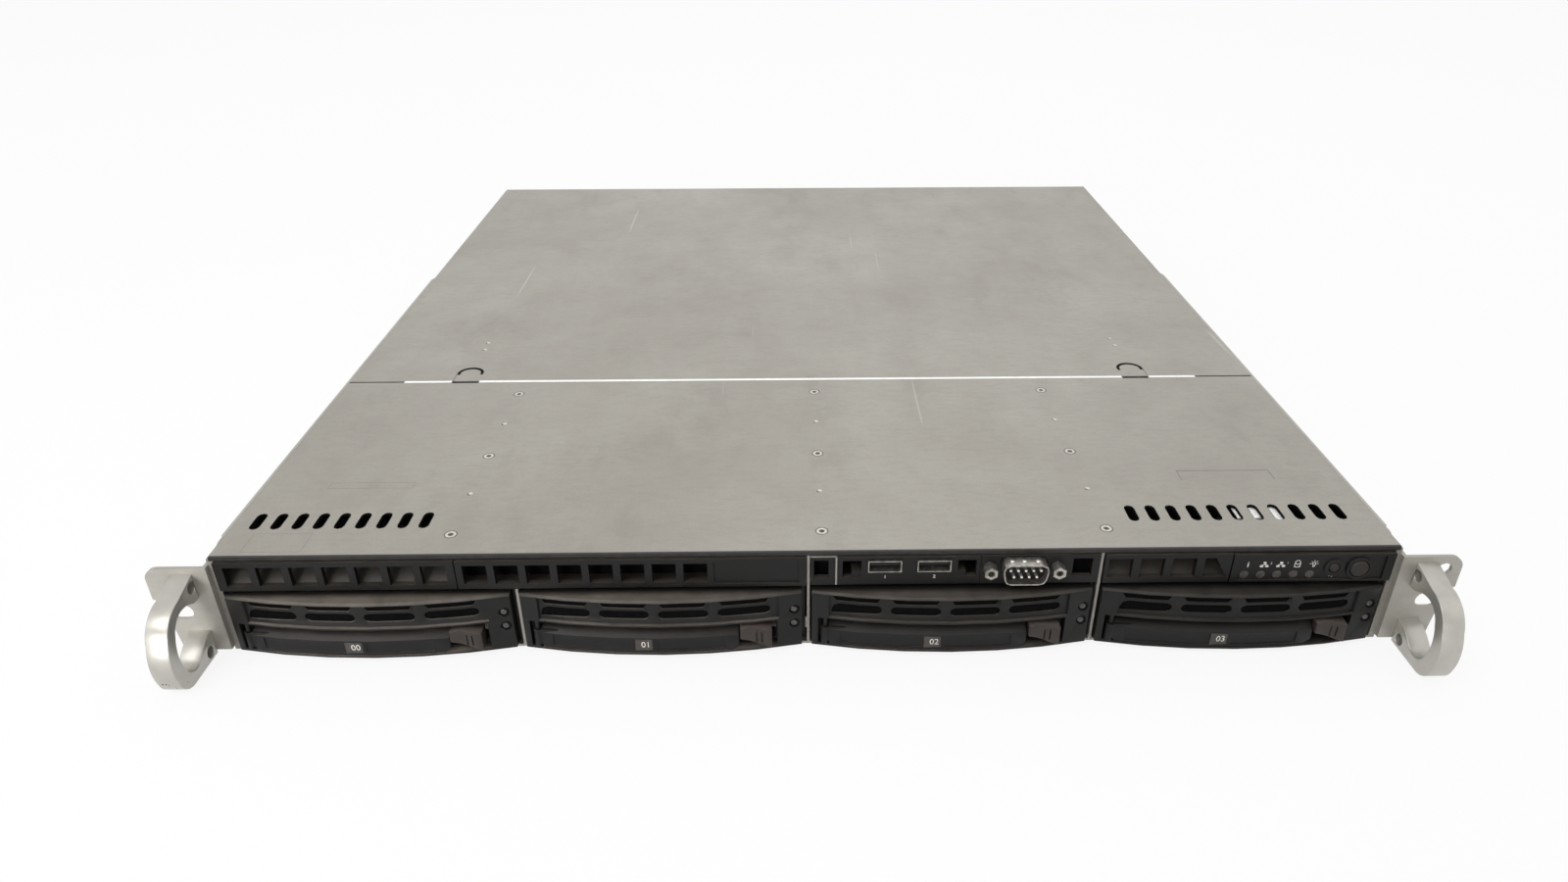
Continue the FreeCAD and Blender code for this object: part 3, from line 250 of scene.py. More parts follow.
def zinc_sheet(name, pale, dark, stain, metallic=0.6):
    """Electro-zinc on steel: clouds of handling, long smears, a fine grain and a few hairlines."""
    made, tree, shader, place = surface(name, metallic)
    clouds = grain(tree, place, CLOUD_MM, 4.0, 0.6)
    smears = grain(tree, place, SMEAR_MM, 5.0, 0.7, (1.0, 0.45, 1.0))
    fine = grain(tree, place, GRAIN_MM, 3.0, 0.7)
    rolling = grain(tree, place, ROLLING_MM, 2.0, 0.6, (0.35, 1.0, 1.0))
    colour = blend_colour(tree, remap(tree, clouds, 0.3, 0.7), linear(dark), linear(pale))
    for marks, low, high, most in ((smears, 0.56, 0.78, 0.24), (fine, 0.3, 0.7, 0.2),
                                   (rolling, 0.45, 0.7, 0.16)):
        colour = blend_colour(tree, remap(tree, marks, low, high, 0.0, most), colour, linear(stain))
    hairlines = grain(tree, place, HAIRLINE_MM, 1.0, 0.5, (1.0, 0.02, 1.0))
    colour = blend_colour(tree, remap(tree, hairlines, 0.78, 0.8, 0.0, 0.3), colour,
                          linear("#D2CFC8"))
    tree.links.new(colour, shader.inputs["Base Color"])
    tree.links.new(remap(tree, smears, 0.3, 0.7, 0.44, 0.58), shader.inputs["Roughness"])
    bump = add(tree, "ShaderNodeBump", {"Height": fine, "Strength": 0.12, "Distance": 0.05 * MM})
    tree.links.new(bump.outputs[0], shader.inputs["Normal"])
    return made


# The inner sheet is set darker than the covers of the same stock: painted shade for the tray's
# front flange and the parts inside.
zinc_inner_shaded = zinc_sheet("zinc_sheet_with_painted_shade", "#9A9790", "#8B8780", "#78736B")
dress(zinc_inner_shaded, "chassis_tray", "drive_cage", "io_shield", "expansion_cover", "power_supply")

# ---- Top covers ----
# The fixed front sheet and the sliding rear cover, of the same stock as the tray. They are what
# hands touch, so they carry the most smudges; the press latches are cut from spring strip. The
# front sheet's folded edge is enamelled black.
zinc_cover = zinc_sheet("handled_zinc_sheet", "#A8A59D", "#99958D", "#837E76")
dress(zinc_cover, "front_top_panel", "top_cover", "cover_latch_left", "cover_latch_right")
trim_black = mottled("black_enamel_edge", "#1E1C1B", "#2B2827", 4.0, roughness=0.42, specular=0.35)
dress(trim_black, "front_top_trim")

# ---- Rivets and weld dimples ----
# Nine semi-flush rivets hold the drive cage to the front sheet: a turned-over rim round a sunk
# centre. The rims are a paler zinc with a painted highlight, and the flush dark rings round them
# and in their centres are painted shade. Between them, and behind each latch, are the small round
# dimples that spot welds leave, each with a raised crown painted pale as a highlight beside a
# flush dark disc of painted shade for its hollow. All are rooted a little way into the sheet.
TURNS = {"front": (math.radians(90), 0, 0), "top": (0, 0, 0),
         "side": (math.radians(90), 0, math.radians(90))}
ROOT = 0.3
RIVET_XS, RIVET_YS = (-133.3, 5.3, 112.3), (13.4, 71.6, 129.5)
RIM_RADII, RIM_RISE = (1.95, 1.15), 0.08
GROOVE_RADII, GROOVE_RISE = ((2.5, 2.2), (0.95, 0.1)), 0.02
DIMPLE_YS = (41.7, 99.9)
LATCH_DIMPLES = [(-161.8, 180.0), (-162.2, 188.6), (161.2, 180.0), (160.8, 188.6)]
CROWN, CROWN_RISE, HOLLOW, HOLLOW_RISE = 0.9, 0.07, 0.85, 0.015


def ring(u, v, radius, sides=28):
    """The corners of a circle."""
    turns = [2 * math.pi * i / sides for i in range(sides)]
    return [(u + radius * math.cos(a), v + radius * math.sin(a)) for a in turns]


def slab(outlines, plane, low, high, edge=0.0):
    """A solid with these outlines, in millimetres, between two levels of a plane, with soft edges.

    A "front" outline is in x and z and faces forward, a "top" one is in x and y and faces up, and
    a "side" one is in y and z and faces right. The first outline is the rim, the rest are holes."""
    bpy.ops.object.select_all(action="DESELECT")
    bpy.ops.curve.primitive_bezier_circle_add(rotation=TURNS[plane])
    made = bpy.context.object
    shape = made.data
    shape.splines.clear()
    shape.dimensions = "2D"
    shape.fill_mode = "BOTH"
    for points in outlines:
        line = shape.splines.new("POLY")
        line.points.add(len(points) - 1)
        for spot, (u, v) in zip(line.points, points):
            spot.co = (u * MM, v * MM, 0.0, 1.0)
        line.use_cyclic_u = True
    shape.extrude = ((high - low) / 2 - edge) * MM
    shape.bevel_depth = edge * MM
    shape.bevel_resolution = 2
    shape.offset = -edge * MM
    bpy.ops.object.convert(target="MESH")
    middle = (low + high) / 2 * MM
    made.location = {"front": (0, front_y + middle, 0), "top": (0, front_y, middle),
                     "side": (middle, front_y, 0)}[plane]
    bpy.ops.object.mode_set(mode="EDIT")
    bpy.ops.mesh.select_all(action="SELECT")
    bpy.ops.mesh.remove_doubles(threshold=0.00001)
    bpy.ops.mesh.normals_make_consistent(inside=False)
    bpy.ops.object.mode_set(mode="OBJECT")
    bpy.ops.object.shade_smooth_by_angle(angle=math.radians(32))
    return made


def disc(u, v, radius, plane, low, high, edge=0.0, sides=28):
    """A round slab."""
    return slab([ring(u, v, radius, sides)], plane, low, high, edge)


def washer(u, v, outer, inner, plane, low, high, edge=0.0, sides=28):
    """A round slab with a round hole."""
    return slab([ring(u, v, outer, sides), ring(u, v, inner, sides)], plane, low, high, edge)


def settle(piece, name, material, body):
    """Names a finished piece, fixes its place in its mesh and hands it to a body."""
    piece.name = name
    piece.data.materials.clear()
    piece.data.materials.append(material)
    bpy.ops.object.select_all(action="DESELECT")
    piece.select_set(True)
    bpy.context.view_layer.objects.active = piece
    bpy.ops.object.transform_apply(location=True, rotation=True, scale=True)
    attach(piece, body)
    return piece


def merged(pieces):
    """Several pieces as one."""
    bpy.ops.object.select_all(action="DESELECT")
    for piece in pieces:
        piece.select_set(True)
    bpy.context.view_layer.objects.active = pieces[0]
    bpy.ops.object.transform_apply(location=True, rotation=True, scale=True)
    bpy.ops.object.join()
    return bpy.context.object


top_z = cad_high.z / MM
rivet_and_crown_highlight = mottled("rivet_zinc_and_painted_highlight", "#D6D3CB", "#BDB9B1", 1.2, metallic=0.5, roughness=0.4)
pressed_shade = mottled("pressed_mark_shadow", "#55514B", "#45413C", 1.0, metallic=0.3,
                        roughness=0.6)
rivets = [(x, y) for x in RIVET_XS for y in RIVET_YS]
rims = [washer(x, y, *RIM_RADII, "top", top_z - ROOT, top_z + RIM_RISE, RIM_RISE)
        for x, y in rivets]
settle(merged(rims), "cage_rivet_rims", rivet_and_crown_highlight, "chassis")
grooves = [washer(x, y, outer, inner, "top", top_z - ROOT, top_z + GROOVE_RISE)
           for x, y in rivets for outer, inner in GROOVE_RADII]
settle(merged(grooves), "cage_rivet_groove_shade", pressed_shade, "chassis")
sheet_dimples = [(x, y) for x in RIVET_XS for y in DIMPLE_YS]
for places, name, body in ((sheet_dimples, "front_sheet_dimple", "chassis"),
                           (LATCH_DIMPLES, "cover_dimple", "cover")):
    crowns = [disc(x + 0.1, y + 0.25, CROWN, "top", top_z - ROOT, top_z + CROWN_RISE, CROWN_RISE,
                   16) for x, y in places]
    settle(merged(crowns), name + "_crowns", rivet_and_crown_highlight, body)
    hollows = [disc(x - 0.35, y - 0.2, HOLLOW, "top", top_z - ROOT, top_z + HOLLOW_RISE, sides=16)
               for x, y in places]
    settle(merged(hollows), name + "_hollow_shade", pressed_shade, body)

# ---- Seam between the covers ----
# The front sheet's joggled tongue lies in the gap between the two covers, and a pure white strip
# there, nearly flush, is a painted highlight on its edge. Black pieces paint the shade in the gap
# where the latch hooks pass through it and in the arc behind each press pad.
SEAM_Y, SEAM_HALF, STRIP_ENDS = 143.3, 0.95, (-191.2, 190.0)
LATCH_XS = {"left": -162.0, "right": 161.0}
LATCH_HALF, LATCH_CLEAR, LATCH_ROUND_Y = 6.4, 0.2, 152.8
ARC_OUT, ARC_IN, ARC_FROM, ARC_SWEEP, ARC_STEPS = (6.2, 6.2), (4.9, 4.6), -14, 212, 24
seam_highlight = mottled("painted_seam_highlight", "#FFFFFF", "#F4F3EF", 3.0, roughness=0.35)
# Near-black that paints the shade in gaps, slot lips and wells.
gap_shade_black = mottled("painted_gap_shade", "#060606", "#0C0B0B", 2.0, roughness=0.7,
                    specular=0.1)


def block(x, y, plane, low, high, edge=0.0):
    """A slab with a rectangular outline."""
    return slab([[(x[0], y[0]), (x[1], y[0]), (x[1], y[1]), (x[0], y[1])]], plane, low, high, edge)


stretches = ((STRIP_ENDS[0], LATCH_XS["left"] - LATCH_HALF - LATCH_CLEAR),
             (LATCH_XS["left"] + LATCH_HALF + LATCH_CLEAR,
              LATCH_XS["right"] - LATCH_HALF - LATCH_CLEAR),
             (LATCH_XS["right"] + LATCH_HALF + LATCH_CLEAR, STRIP_ENDS[1]))
strips = [block(x, (SEAM_Y - SEAM_HALF, SEAM_Y + SEAM_HALF), "top", top_z - 1.1, top_z + 0.01)
          for x in stretches]
settle(merged(strips), "seam_strip", seam_highlight, "chassis")
for side, x in LATCH_XS.items():
    notch = block((x - LATCH_HALF, x + LATCH_HALF), (SEAM_Y - 0.6, SEAM_Y + 0.8), "top",
                  top_z - 1.9, top_z - 0.6)
    settle(notch, "seam_notch_" + side, gap_shade_black, "chassis")
    turns = [math.radians(ARC_FROM + ARC_SWEEP * i / ARC_STEPS) for i in range(ARC_STEPS + 1)]
    outer, inner = [[(x + wide * math.cos(a), LATCH_ROUND_Y + deep * math.sin(a)) for a in turns]
                    for wide, deep in (ARC_OUT, ARC_IN)]
    crescent = slab([outer + inner[::-1]], "top", top_z - 0.6, top_z - 0.1)
    settle(crescent, "latch_arc_" + side, gap_shade_black, "latch_" + side)

# ---- Vent slots ----
# Each slot in the front sheet has a black lip with full round ends, painted shade for the dark
# inside of the slot. Under the right-hand row lies the head of the light pipes, drawn opaque white
# as a painted highlight for the light that falls through the slots.
SLOT_RADIUS, SLOT_REACH, LIP_WIDTH = 2.0, 3.5, 0.17
SLOT_END_FLATS, LIP_END_FLATS = 4, 12
SLOT_ROWS = (("left", -208.9, 7.96, 23.2, 9), ("right", 124.7, 7.97, 23.6, 11))
PIPE_HEADS = (((165.6, 176.4), (21.9, 29.4)), ((177.6, 183.0), (17.6, 29.8)))
PIPE_RIBS, PIPE_RIB_Y = (179.4, 181.0), (18.5, 29.0)
light_pipe_painted_highlight = mottled("light_pipe_painted_highlight", "#FFFFFF", "#E9E8E3", 2.0, roughness=0.3)


def stadium(x, y, radius, steps):
    """A slot's outline, whose round ends have this many flats each."""
    turns = [math.pi * i / steps for i in range(steps + 1)]
    far = [(x + radius * math.cos(a), y + SLOT_REACH + radius * math.sin(a)) for a in turns]
    return far + [(x - radius * math.cos(a), y - SLOT_REACH - radius * math.sin(a)) for a in turns]


for name, start, pitch, y, count in SLOT_ROWS:
    lips = [slab([stadium(start + pitch * i, y, SLOT_RADIUS, SLOT_END_FLATS),
                  stadium(start + pitch * i, y, SLOT_RADIUS - LIP_WIDTH, LIP_END_FLATS)],
                 "top", top_z - 1.25, top_z - 0.01) for i in range(count)]
    settle(merged(lips), "slot_lips_" + name, gap_shade_black, "chassis")
head = [block(x, y, "top", top_z - 2.2, top_z - 1.5, 0.15) for x, y in PIPE_HEADS]
head += [block((x - 0.25, x + 0.25), PIPE_RIB_Y, "top", top_z - 1.7, top_z - 1.35, 0.1)
         for x in PIPE_RIBS]
settle(merged(head), "light_pipe_head", light_pipe_painted_highlight, "chassis")

# ---- Shadow gaps beside the covers ----
# The covers end a little inside the tray's walls, which leaves a narrow gap along each side; the
# black strip in it is painted shade.
COVER_EDGE, GAP_WIDTH, GAP_Y = 217.35, 0.5, (2.0, 471.0)
for side, name in ((-1, "left"), (1, "right")):
    x = sorted((side * COVER_EDGE, side * (COVER_EDGE + GAP_WIDTH)))
    settle(block(x, GAP_Y, "top", top_z - 1.7, top_z - 0.5), "cover_gap_" + name, gap_shade_black,
           "chassis")

# ---- Label outlines on the covers ----
# Fine outlines where paper labels would go, drawn darker than the zinc. The one on the right is
# open towards the front and is darker still.
SCRIBED = ((-191.5, -157.5, 46.5, 51.0), (-207.0, -185.0, 3.0, 15.0))
SCRIBED_OPEN = (152.0, 190.0, 47.5, 55.0)
FINE_LINE, OPEN_SIDE_LINE, OPEN_BACK_LINE = 0.22, 0.3, 0.4
scribed = mottled("outline_zinc", "#7E7971", "#8E8980", 6.0, metallic=0.3, roughness=0.6)
darker_outline = mottled("darker_outline_zinc", "#6E6A62", "#7E7A72", 6.0, metallic=0.3, roughness=0.6)


def field_rim(x0, x1, y0, y1, width):
    """A fine rectangle's rim: its outside and its inside."""
    return [[(x0 + w, y0 + w), (x1 - w, y0 + w), (x1 - w, y1 - w), (x0 + w, y1 - w)]
            for w in (0.0, width)]


fields = [slab(field_rim(*sides, FINE_LINE), "top", top_z - ROOT, top_z + 0.012)
          for sides in SCRIBED]
settle(merged(fields), "scribed_fields", scribed, "chassis")
x0, x1, y0, y1 = SCRIBED_OPEN
staple = [(x0, y0), (x0, y1), (x1, y1), (x1, y0), (x1 - OPEN_SIDE_LINE, y0),
          (x1 - OPEN_SIDE_LINE, y1 - OPEN_BACK_LINE), (x0 + OPEN_SIDE_LINE, y1 - OPEN_BACK_LINE),
          (x0 + OPEN_SIDE_LINE, y0)]
settle(slab([staple], "top", top_z - ROOT, top_z + 0.014), "scribed_open_field", darker_outline,
       "chassis")

# ---- Slide rails and rack ears ----
# Thin zinc-plated steel, brighter than the covers where the slides have polished it. Each rail is
# held by flush rivets.
RAIL_FACE, RAIL_RIVET, RAIL_RIVET_RISE = 219.0, 2.4, 0.75
RAIL_RIVETS = ((24.0, 34.0), (95.0, 23.3), (200.0, 23.3), (280.0, 12.0), (280.0, 34.0))
rail_steel = zinc_sheet("slide_rail_steel", "#B9B6AF", "#A7A49C", "#8F8A81")
dress(rail_steel, "side_rail_left", "side_rail_right")
ear_steel = zinc_sheet("rack_ear_zinc", "#B4B1AA", "#A29F97", "#8D8880")
dress(ear_steel, "rack_ear_left", "rack_ear_right")
for side, name in ((-1, "left"), (1, "right")):
    levels = sorted((side * RAIL_FACE, side * (RAIL_FACE + RAIL_RIVET_RISE)))
    # The heads take the pale rivet colour, with its painted highlight.
    heads = [disc(y, z, RAIL_RIVET, "side", *levels, 0.25, 20) for y, z in RAIL_RIVETS]
    settle(merged(heads), "rail_rivets_" + name, rivet_and_crown_highlight, "chassis")

# ---- Pull handles ----
# Extruded aluminium bar, cut across and bead-blasted to an even satin, then clear anodised. The
# loop's curves are true arcs and its edges are broken by a small chamfer. Two tapped bores show on
# its inner side, each with a dark floor of painted shade, and a few small dark discs on its front
# mark nicks.
HANDLE_INNER, HANDLE_OUTER, HANDLE_CHAMFER = 224.0, 232.0, 0.35
PAD_Y, BORE, BORE_DEPTH, PLUG = -1.5, 2.3, 3.0, 0.8
BORES = [(PAD_Y - 2.4, 32.4), (PAD_Y - 4.0, 3.8)]
NICKS = ((227.8, -27.9, 13.6, 0.5), (227.9, -27.9, 14.4, 0.5), (229.3, -26.1, 22.0, 0.3),
         (-230.1, -26.9, 7.2, 0.3), (-228.8, -26.9, 7.2, 0.3))
handle_skin = mottled("blasted_anodised_aluminium", "#ADAAA3", "#B9B6AF", 14.0, metallic=0.6,
                      roughness=0.32, relief_mm=0.04)
bore_shade_and_dark_marks = mottled("bore_shade_and_nick_marks", "#2A2826", "#3A3735", 1.5, metallic=0.4, roughness=0.6)


def bent(start, through, end, steps=10):
    """Points along the arc through three points, from its start up to just before its end."""
    (ax, ay), (bx, by), (cx, cy) = start, through, end
    d = 2 * (ax * (by - cy) + bx * (cy - ay) + cx * (ay - by))
    a2, b2, c2 = ax * ax + ay * ay, bx * bx + by * by, cx * cx + cy * cy
    ux = (a2 * (by - cy) + b2 * (cy - ay) + c2 * (ay - by)) / d
    uy = (a2 * (cx - bx) + b2 * (ax - cx) + c2 * (bx - ax)) / d
    radius = math.hypot(ax - ux, ay - uy)
    first = math.atan2(ay - uy, ax - ux)
    sweep = [(math.atan2(y - uy, x - ux) - first) % (2 * math.pi) for x, y in (through, end)]
    total = sweep[1] if sweep[0] < sweep[1] else sweep[1] - 2 * math.pi
    return [(ux + radius * math.cos(first + total * i / steps),
             uy + radius * math.sin(first + total * i / steps)) for i in range(steps)]


loop = [(PAD_Y, 36.7), (-13.0, 33.6)] + bent((-13.0, 33.6), (-21.4, 30.2), (-25.8, 23.0))[1:]
loop += bent((-25.8, 23.0), (-28.0, 13.2), (-26.6, 6.4))
loop += bent((-26.6, 6.4), (-24.0, 2.2), (-19.6, 0.3))
loop += [(-19.6, 0.3), (PAD_Y, 0.3), (PAD_Y, 10.9)]
loop += bent((PAD_Y, 10.9), (-7.2, 9.2), (-11.8, 6.2))[1:]
loop += bent((-11.8, 6.2), (-16.2, 4.9), (-20.2, 7.4))
loop += bent((-20.2, 7.4), (-22.2, 14.6), (-20.4, 23.2))
loop += bent((-20.4, 23.2), (-18.0, 26.9), (-14.0, 28.9))
loop += bent((-14.0, 28.9), (-10.0, 28.6), (-6.4, 26.9))
loop += bent((-6.4, 26.9), (-4.0, 26.1), (PAD_Y, 26.3)) + [(PAD_Y, 26.3)]
for side, name in ((-1, "left"), (1, "right")):
    levels = sorted((side * HANDLE_INNER, side * HANDLE_OUTER))
    bar = slab([loop] + [ring(y, z, BORE, 20) for y, z in BORES], "side", *levels, HANDLE_CHAMFER)
    settle(bar, "pull_handle_" + name, handle_skin, "chassis")
    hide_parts("handle_" + name)
    levels = sorted((side * (HANDLE_INNER + BORE_DEPTH), side * (HANDLE_INNER + BORE_DEPTH + PLUG)))
    plugs = [disc(y, z, BORE, "side", *levels, sides=20) for y, z in BORES]
    settle(merged(plugs), "handle_bore_floors_" + name, bore_shade_and_dark_marks, "chassis")
nicks = [disc(x, z, size, "front", y - 0.06, y + 0.5, sides=10) for x, y, z, size in NICKS]
settle(merged(nicks), "handle_nicks", bore_shade_and_dark_marks, "chassis")

# ---- Moulded fronts ----
# Injection-moulded ABS with a fine spark-eroded texture, nearly black, with worn patches at
# random. Dust lies on what faces up; on the bay fronts and levers its share also falls off from
# the left end to the right as painted light, and fades behind the face as painted shade in the
# openings.
# Behind each bay's grille a black foam screen follows the bow of its face.
BAY_PITCH, FIRST_BAY = 108.0, -216.0
FACE_MID, FACE_MID_Y, HALF_CHORD, BOW = 53.4, -7.6, 52.2, 5.6
BOW_RADIUS = (HALF_CHORD ** 2 + BOW ** 2) / (2 * BOW)
SCREEN_FROM, SCREEN_STEP, SCREEN_POINTS, SCREEN_Z = -45.0, 3.75, 24, (16.4, 25.2)
SCREEN_BEHIND = (1.9, 2.7)
TEXTURE_MM, WEAR_MM = 0.35, 9.0


def moulded(name, base, worn, dust, lay=0.55, ends=(1.0, 1.0), deep=1.0, roughness=0.46):
    """Dark textured plastic: worn patches, and dust that settles on what faces up.

    The dust's share goes from the first of ends, on the left, to the second, which paints light
    falling off across the front, and fades to deep behind the face, which paints shade in the
    recesses."""
    made, tree, shader, place = surface(name, roughness=roughness, specular=0.24)
    texture = grain(tree, place, TEXTURE_MM, 2.0, 0.6)
    patches = grain(tree, place, WEAR_MM, 3.0, 0.6)
    facing = add(tree, "ShaderNodeNewGeometry").outputs["Normal"]
    up = add(tree, "ShaderNodeSeparateXYZ", {0: facing}).outputs["Z"]
    spot = add(tree, "ShaderNodeSeparateXYZ", {0: place})
    # The dust's share falls off from left to right: painted light from the left.
    dust_light_reach = remap(tree, spot.outputs["X"], -0.2, 0.2, *ends)
    # Behind the face the share fades: painted shade in the openings.
    forward = remap(tree, spot.outputs["Y"], front_y - 3.5 * MM, front_y - 0.6 * MM, 1.0, deep)
    for factor in (forward, remap(tree, patches, 0.3, 0.7, 0.6 * lay, lay)):
        dust_light_reach = add(tree, "ShaderNodeMath", {0: dust_light_reach, 1: factor}, operation="MULTIPLY").outputs[0]
    dust_and_light_share = add(tree, "ShaderNodeMath", {0: remap(tree, up, 0.15, 0.95), 1: dust_light_reach},
                  operation="MULTIPLY", use_clamp=True).outputs[0]
    colour = blend_colour(tree, remap(tree, patches, 0.4, 0.7, 0.0, 0.35), linear(base),
                          linear(worn))
    colour = blend_colour(tree, dust_and_light_share, colour, linear(dust))
    tree.links.new(colour, shader.inputs["Base Color"])
    tree.links.new(remap(tree, patches, 0.3, 0.7, roughness - 0.06, roughness + 0.08),
                   shader.inputs["Roughness"])
    bump = add(tree, "ShaderNodeBump", {"Height": texture, "Strength": 0.2, "Distance": 0.04 * MM})
    tree.links.new(bump.outputs[0], shader.inputs["Normal"])
    return made


def softened(node, name, material, edge_mm=0.15):
    """Stands a copy of a CAD node in its place, its flats merged and its edges softened."""
    made = nodes[node].copy()
    made.data = nodes[node].data.copy()
    for stray in [key for key in made.keys() if key.startswith("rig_")]:
        del made[stray]
    made.parent = None
    made.hide_render = False
    bpy.context.scene.collection.objects.link(made)
    bpy.ops.object.select_all(action="DESELECT")
    made.select_set(True)
    bpy.context.view_layer.objects.active = made
    bpy.ops.object.mode_set(mode="EDIT")
    bpy.ops.mesh.select_all(action="SELECT")
    bpy.ops.mesh.remove_doubles(threshold=0.00001)
    bpy.ops.object.mode_set(mode="OBJECT")
    bevel = made.modifiers.new("softened_edges", "BEVEL")
    bevel.width = edge_mm * MM
    bevel.segments = 2
    bevel.limit_method = "ANGLE"
    bevel.angle_limit = math.radians(28)
    bevel.use_clamp_overlap = True
    bpy.ops.object.modifier_apply(modifier=bevel.name)
    bpy.ops.object.shade_smooth_by_angle(angle=math.radians(30))
    settle(made, name, material, nodes[node]["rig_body"])
    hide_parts(node)
    return made


row_abs = moulded("black_row_abs", "#100F0E", "#1A1817", "#5A544D", 0.5)
black_abs = moulded("black_textured_abs", "#100F0E", "#1A1817", "#6A635B", 0.62, (2.0, 0.2), 0.1)
lever_abs = moulded("black_lever_abs", "#0D0C0C", "#151413", "#4A443F", 0.4, (1.5, 0.3), 0.3)
grille_shade_black = mottled("painted_shade_black", "#050505", "#0D0C0C", 1.2, roughness=0.9,
                       specular=0.05)
dress(row_abs, "left_vent_bezel", "slim_bay_blank", "port_bezel", "usb_panel", "right_vent_bezel",
      "control_panel")
for bay in range(4):
    softened("carrier_bezel_%d" % bay, "bay_front_%d" % bay, black_abs)
    middle = FIRST_BAY + BAY_PITCH * bay + FACE_MID
    reaches = [SCREEN_FROM + SCREEN_STEP * i for i in range(SCREEN_POINTS)]
    bow = [(middle + u, FACE_MID_Y + BOW_RADIUS - math.sqrt(BOW_RADIUS ** 2 - u * u))
           for u in reaches]
    front, back = [[(x, y + behind) for x, y in bow] for behind in SCREEN_BEHIND]
    settle(slab([front + back[::-1]], "top", *SCREEN_Z), "bay_filter_%d" % bay, grille_shade_black,
           "carrier_%d" % bay)
    softened("carrier_lever_%d" % bay, "bay_lever_%d" % bay, lever_abs)

# ---- Buttons ----
# A warmer, browner grey ABS than the fronts, so that the fingers find what to press.
button_abs = moulded("brown_grey_abs", "#332D2A", "#3F3834", "#6A615B")
for bay in range(4):
    softened("carrier_button_%d" % bay, "bay_release_%d" % bay, button_abs)

# ---- Carrier lights ----
# Each bay front has two small unlit lenses, sunk in round wells at its right end, with a black
# ring of painted shade round each.
LIGHT_U, LIGHT_ZS, WELL_FLOOR = 102.6, (18.7, 12.3), -1.6
carrier_lens = mottled("smoked_lens", "#2E2B29", "#45413D", 1.0, roughness=0.25, specular=0.6)
for bay in range(4):
    x = FIRST_BAY + BAY_PITCH * bay + LIGHT_U
    domes = [disc(x, z, 1.3, "front", WELL_FLOOR - 0.75, WELL_FLOOR + 0.1, 0.3, 20)
             for z in LIGHT_ZS]
    settle(merged(domes), "carrier_lights_%d" % bay, carrier_lens, "carrier_%d" % bay)
    rims = [washer(x, z, 2.05, 1.45, "front", WELL_FLOOR - 1.0, WELL_FLOOR + 0.1, 0.1, 24)
            for z in LIGHT_ZS]
    settle(merged(rims), "carrier_light_rims_%d" % bay, gap_shade_black, "carrier_%d" % bay)

# ---- Panel keys ----
# The power and reset keys, in a browner plastic than the panel.
panel_abs = moulded("panel_key_abs", "#272321", "#302B29", "#5A524C", 0.3)
softened("power_button", "power_key", panel_abs)
softened("reset_button", "reset_key", panel_abs, 0.12)

# ---- Bay numbers ----
# Each lever carries a small plate with the number of its bay, pad-printed in off-white on a
# charcoal ground that is a little paler than the lever.
PLATE_U, PLATE_HALF, PLATE_Z, NUMBER_Z, NUMBER_HIGH = 47.1, 3.9, (3.7, 8.9), 6.3, 2.7
BODY_PER_HEIGHT = 1.38    # the height of a font's body over that of its figures
print_white = mottled("pad_print_white", "#DEDBD5", "#BEBAB3", 0.8, roughness=0.6, specular=0.3)
plate_grey = mottled("charcoal_label_film", "#393633", "#45413D", 3.0, roughness=0.4, specular=0.3)


def lettered(text, height_mm, x, y, z, thick_mm=0.03, stretch=1.0):
    """A short number as a thin raised print that faces forward."""
    bpy.ops.object.select_all(action="DESELECT")
    bpy.ops.object.text_add(location=(x * MM, front_y + y * MM, z * MM), rotation=TURNS["front"])
    made = bpy.context.object
    made.data.body = text
    made.data.size = height_mm * MM * BODY_PER_HEIGHT
    made.data.align_x = "CENTER"
    made.data.align_y = "CENTER"
    made.data.extrude = thick_mm * MM
    made.data.resolution_u = 3
    made.scale.x = stretch
    bpy.ops.object.convert(target="MESH")
    return bpy.context.object


for bay in range(4):
    lever_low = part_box("carrier_lever_%d" % bay)[0]
    x = FIRST_BAY + BAY_PITCH * bay + PLATE_U
    face = (lever_low.y - front_y) / MM + 0.3
    film = block((x - PLATE_HALF, x + PLATE_HALF), PLATE_Z, "front", face, face + 0.3, 0.04)
    settle(film, "bay_label_%d" % bay, plate_grey, "lever_%d" % bay)
    number = lettered("0%d" % bay, NUMBER_HIGH, x, face - 0.02, NUMBER_Z, stretch=0.95)
    settle(number, "bay_number_%d" % bay, print_white, "lever_%d" % bay)

# ---- Front connectors ----
# Nickel-plated shells over black insulators. The serial port's nine pins stand through its
# insulator, and three dimples on its shell grip the plug, drawn in the pale pin colour as a painted
# highlight; each USB mouth has its tongue, and black blocks behind its lip paint the shade inside.
SERIAL_X, SERIAL_Z, PIN_PITCH, ROW_STEP, PIN = 79.0, 35.8, 2.77, 1.42, 0.52
D_WIDE, D_NARROW, D_HALF_HIGH, D_ROUND, D_CURVE_STEPS = 8.35, 7.0, 3.9, 2.4, 6
DIMPLE_SHIFTS, DIMPLE_Y = (-5.0, -0.6, 4.4), -3.4
USB_XS, USB_LOW, USB_HIGH, USB_CONTACTS = (28.0, 46.1), 34.8, 39.7, (-3.5, -1.2, 1.2, 3.5)
nickel = mottled("nickel_plate", "#B5B1AA", "#807C75", 2.0, metallic=0.9, roughness=0.34)
dress(nickel, "front_ports", "io_ports")
insulator = mottled("black_nylon_and_painted_shade", "#0B0A0A", "#141313", 0.7, roughness=0.5,
                    specular=0.25)
